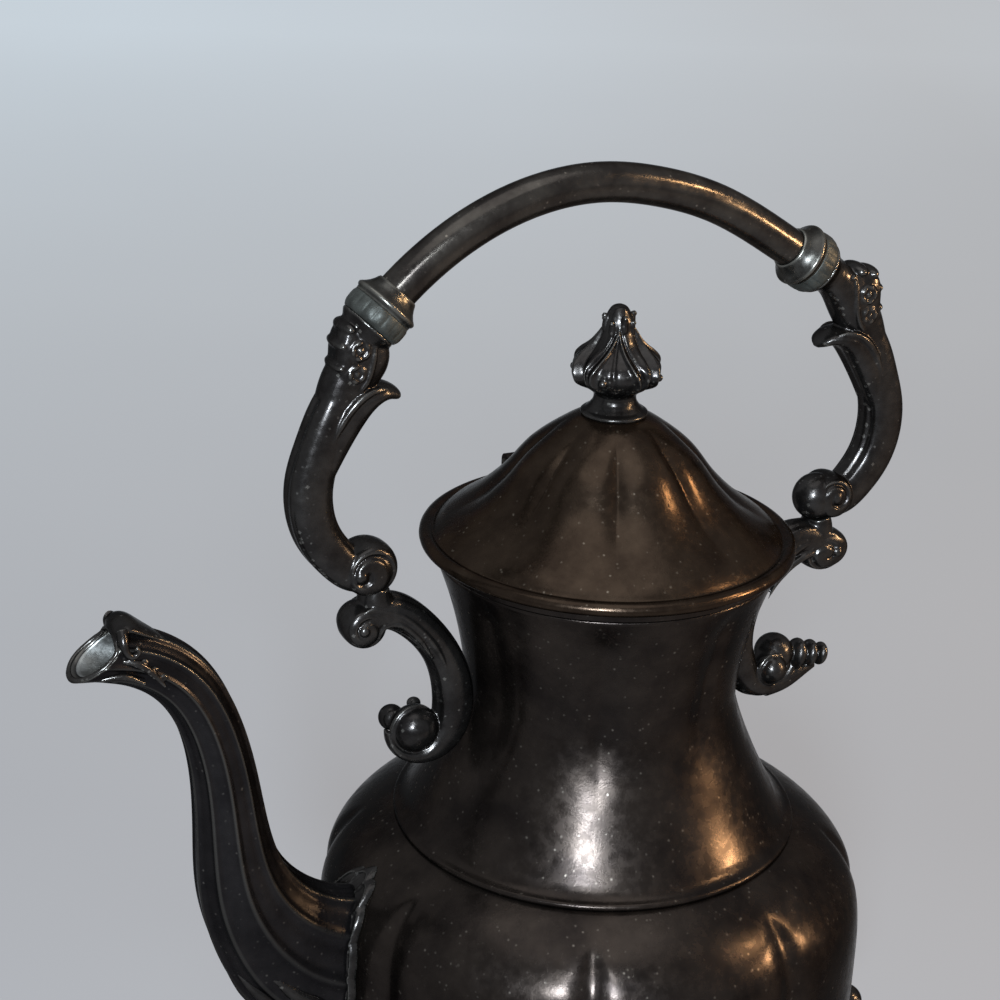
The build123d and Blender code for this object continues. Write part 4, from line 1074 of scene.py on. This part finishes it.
def lamp(name, place, target, size, power, colour):
    """Round lamp of a diameter in metres and a power in watts."""
    data = bpy.data.lights.new(name, "AREA")
    data.shape = "DISK"
    data.size = size
    data.energy = power
    data.color = colour
    piece = placed(name, data)
    piece.location = Vector(place)
    piece.rotation_euler = (Vector(target) - Vector(place)).to_track_quat("-Z", "Y").to_euler()


def lights():
    """Soft room, a cool lamp beside the camera, a warm one at the right, and a broad one overhead."""
    world = bpy.data.worlds.new("soft_room")
    bpy.context.scene.world = world
    world.use_nodes = True
    shade = world.node_tree.nodes["Background"]
    shade.inputs["Color"].default_value = (0.78, 0.84, 0.92, 1)
    shade.inputs["Strength"].default_value = 0.55
    lamp("flash", (-0.348, -0.602, 0.50), (0.0, 0.0, 0.23), 0.08, 11.0, (0.74, 0.87, 1.0))
    lamp("flash_high", (-0.26, -0.52, 0.68), (0.0, 0.0, 0.26), 0.10, 1.9, (0.78, 0.90, 1.0))
    lamp("warm_side", (0.95, -0.57, 0.49), (0.02, 0.0, 0.22), 0.12, 9.0, (1.0, 0.64, 0.33))
    lamp("warm_high", (0.88, -0.53, 0.92), (0.02, 0.0, 0.26), 0.10, 4.6, (1.0, 0.64, 0.32))
    lamp("overhead", (-0.2, -0.2, 1.9), (0.0, 0.0, 0.0), 1.6, 9.0, (0.93, 0.97, 1.0))


# The camera's place from the kettle's axis at the table, and its directions, solved for the view.
CAMERA_PLACE = Vector((AXIS_X - 0.2236, -0.3958, 0.4490))
CAMERA_FORWARD = Vector((0.41158261, 0.83320988, -0.36927097))
CAMERA_RIGHT = Vector((0.90178235, -0.43094925, 0.03273141))
CAMERA_UP = Vector((0.13186491, 0.34647372, 0.92874518))
FOCAL_PIXELS, IMAGE_PIXELS, SENSOR_WIDTH = 2112.1, 1000.0, 36.0


def build_camera():
    data = bpy.data.cameras.new("photo_camera")
    data.sensor_width = SENSOR_WIDTH
    data.lens = SENSOR_WIDTH * FOCAL_PIXELS / IMAGE_PIXELS
    data.clip_start = 0.01
    camera = placed("photo_camera", data)
    turn = Matrix((CAMERA_RIGHT, CAMERA_UP, -CAMERA_FORWARD)).transposed().to_4x4()
    camera.matrix_world = Matrix.Translation(CAMERA_PLACE) @ turn
    bpy.context.scene.camera = camera


dress_nodes()
kettle_melon()
kettle_throat()
lid_dome()
lotus_bud()
spout()
spout_leafwork()
ferrules()
handle_arm("front", -1)
handle_arm("rear", 1)
bracket("front", -1)
bracket("rear", 1)
for corner, angle in (("rear_far", 45), ("front_far", 135), ("front_near", 225), ("rear_near", 315)):
    stand_leg(corner, angle)
post_balls()
floor()
lights()
build_camera()
bpy.context.scene.view_settings.view_transform = "Standard"
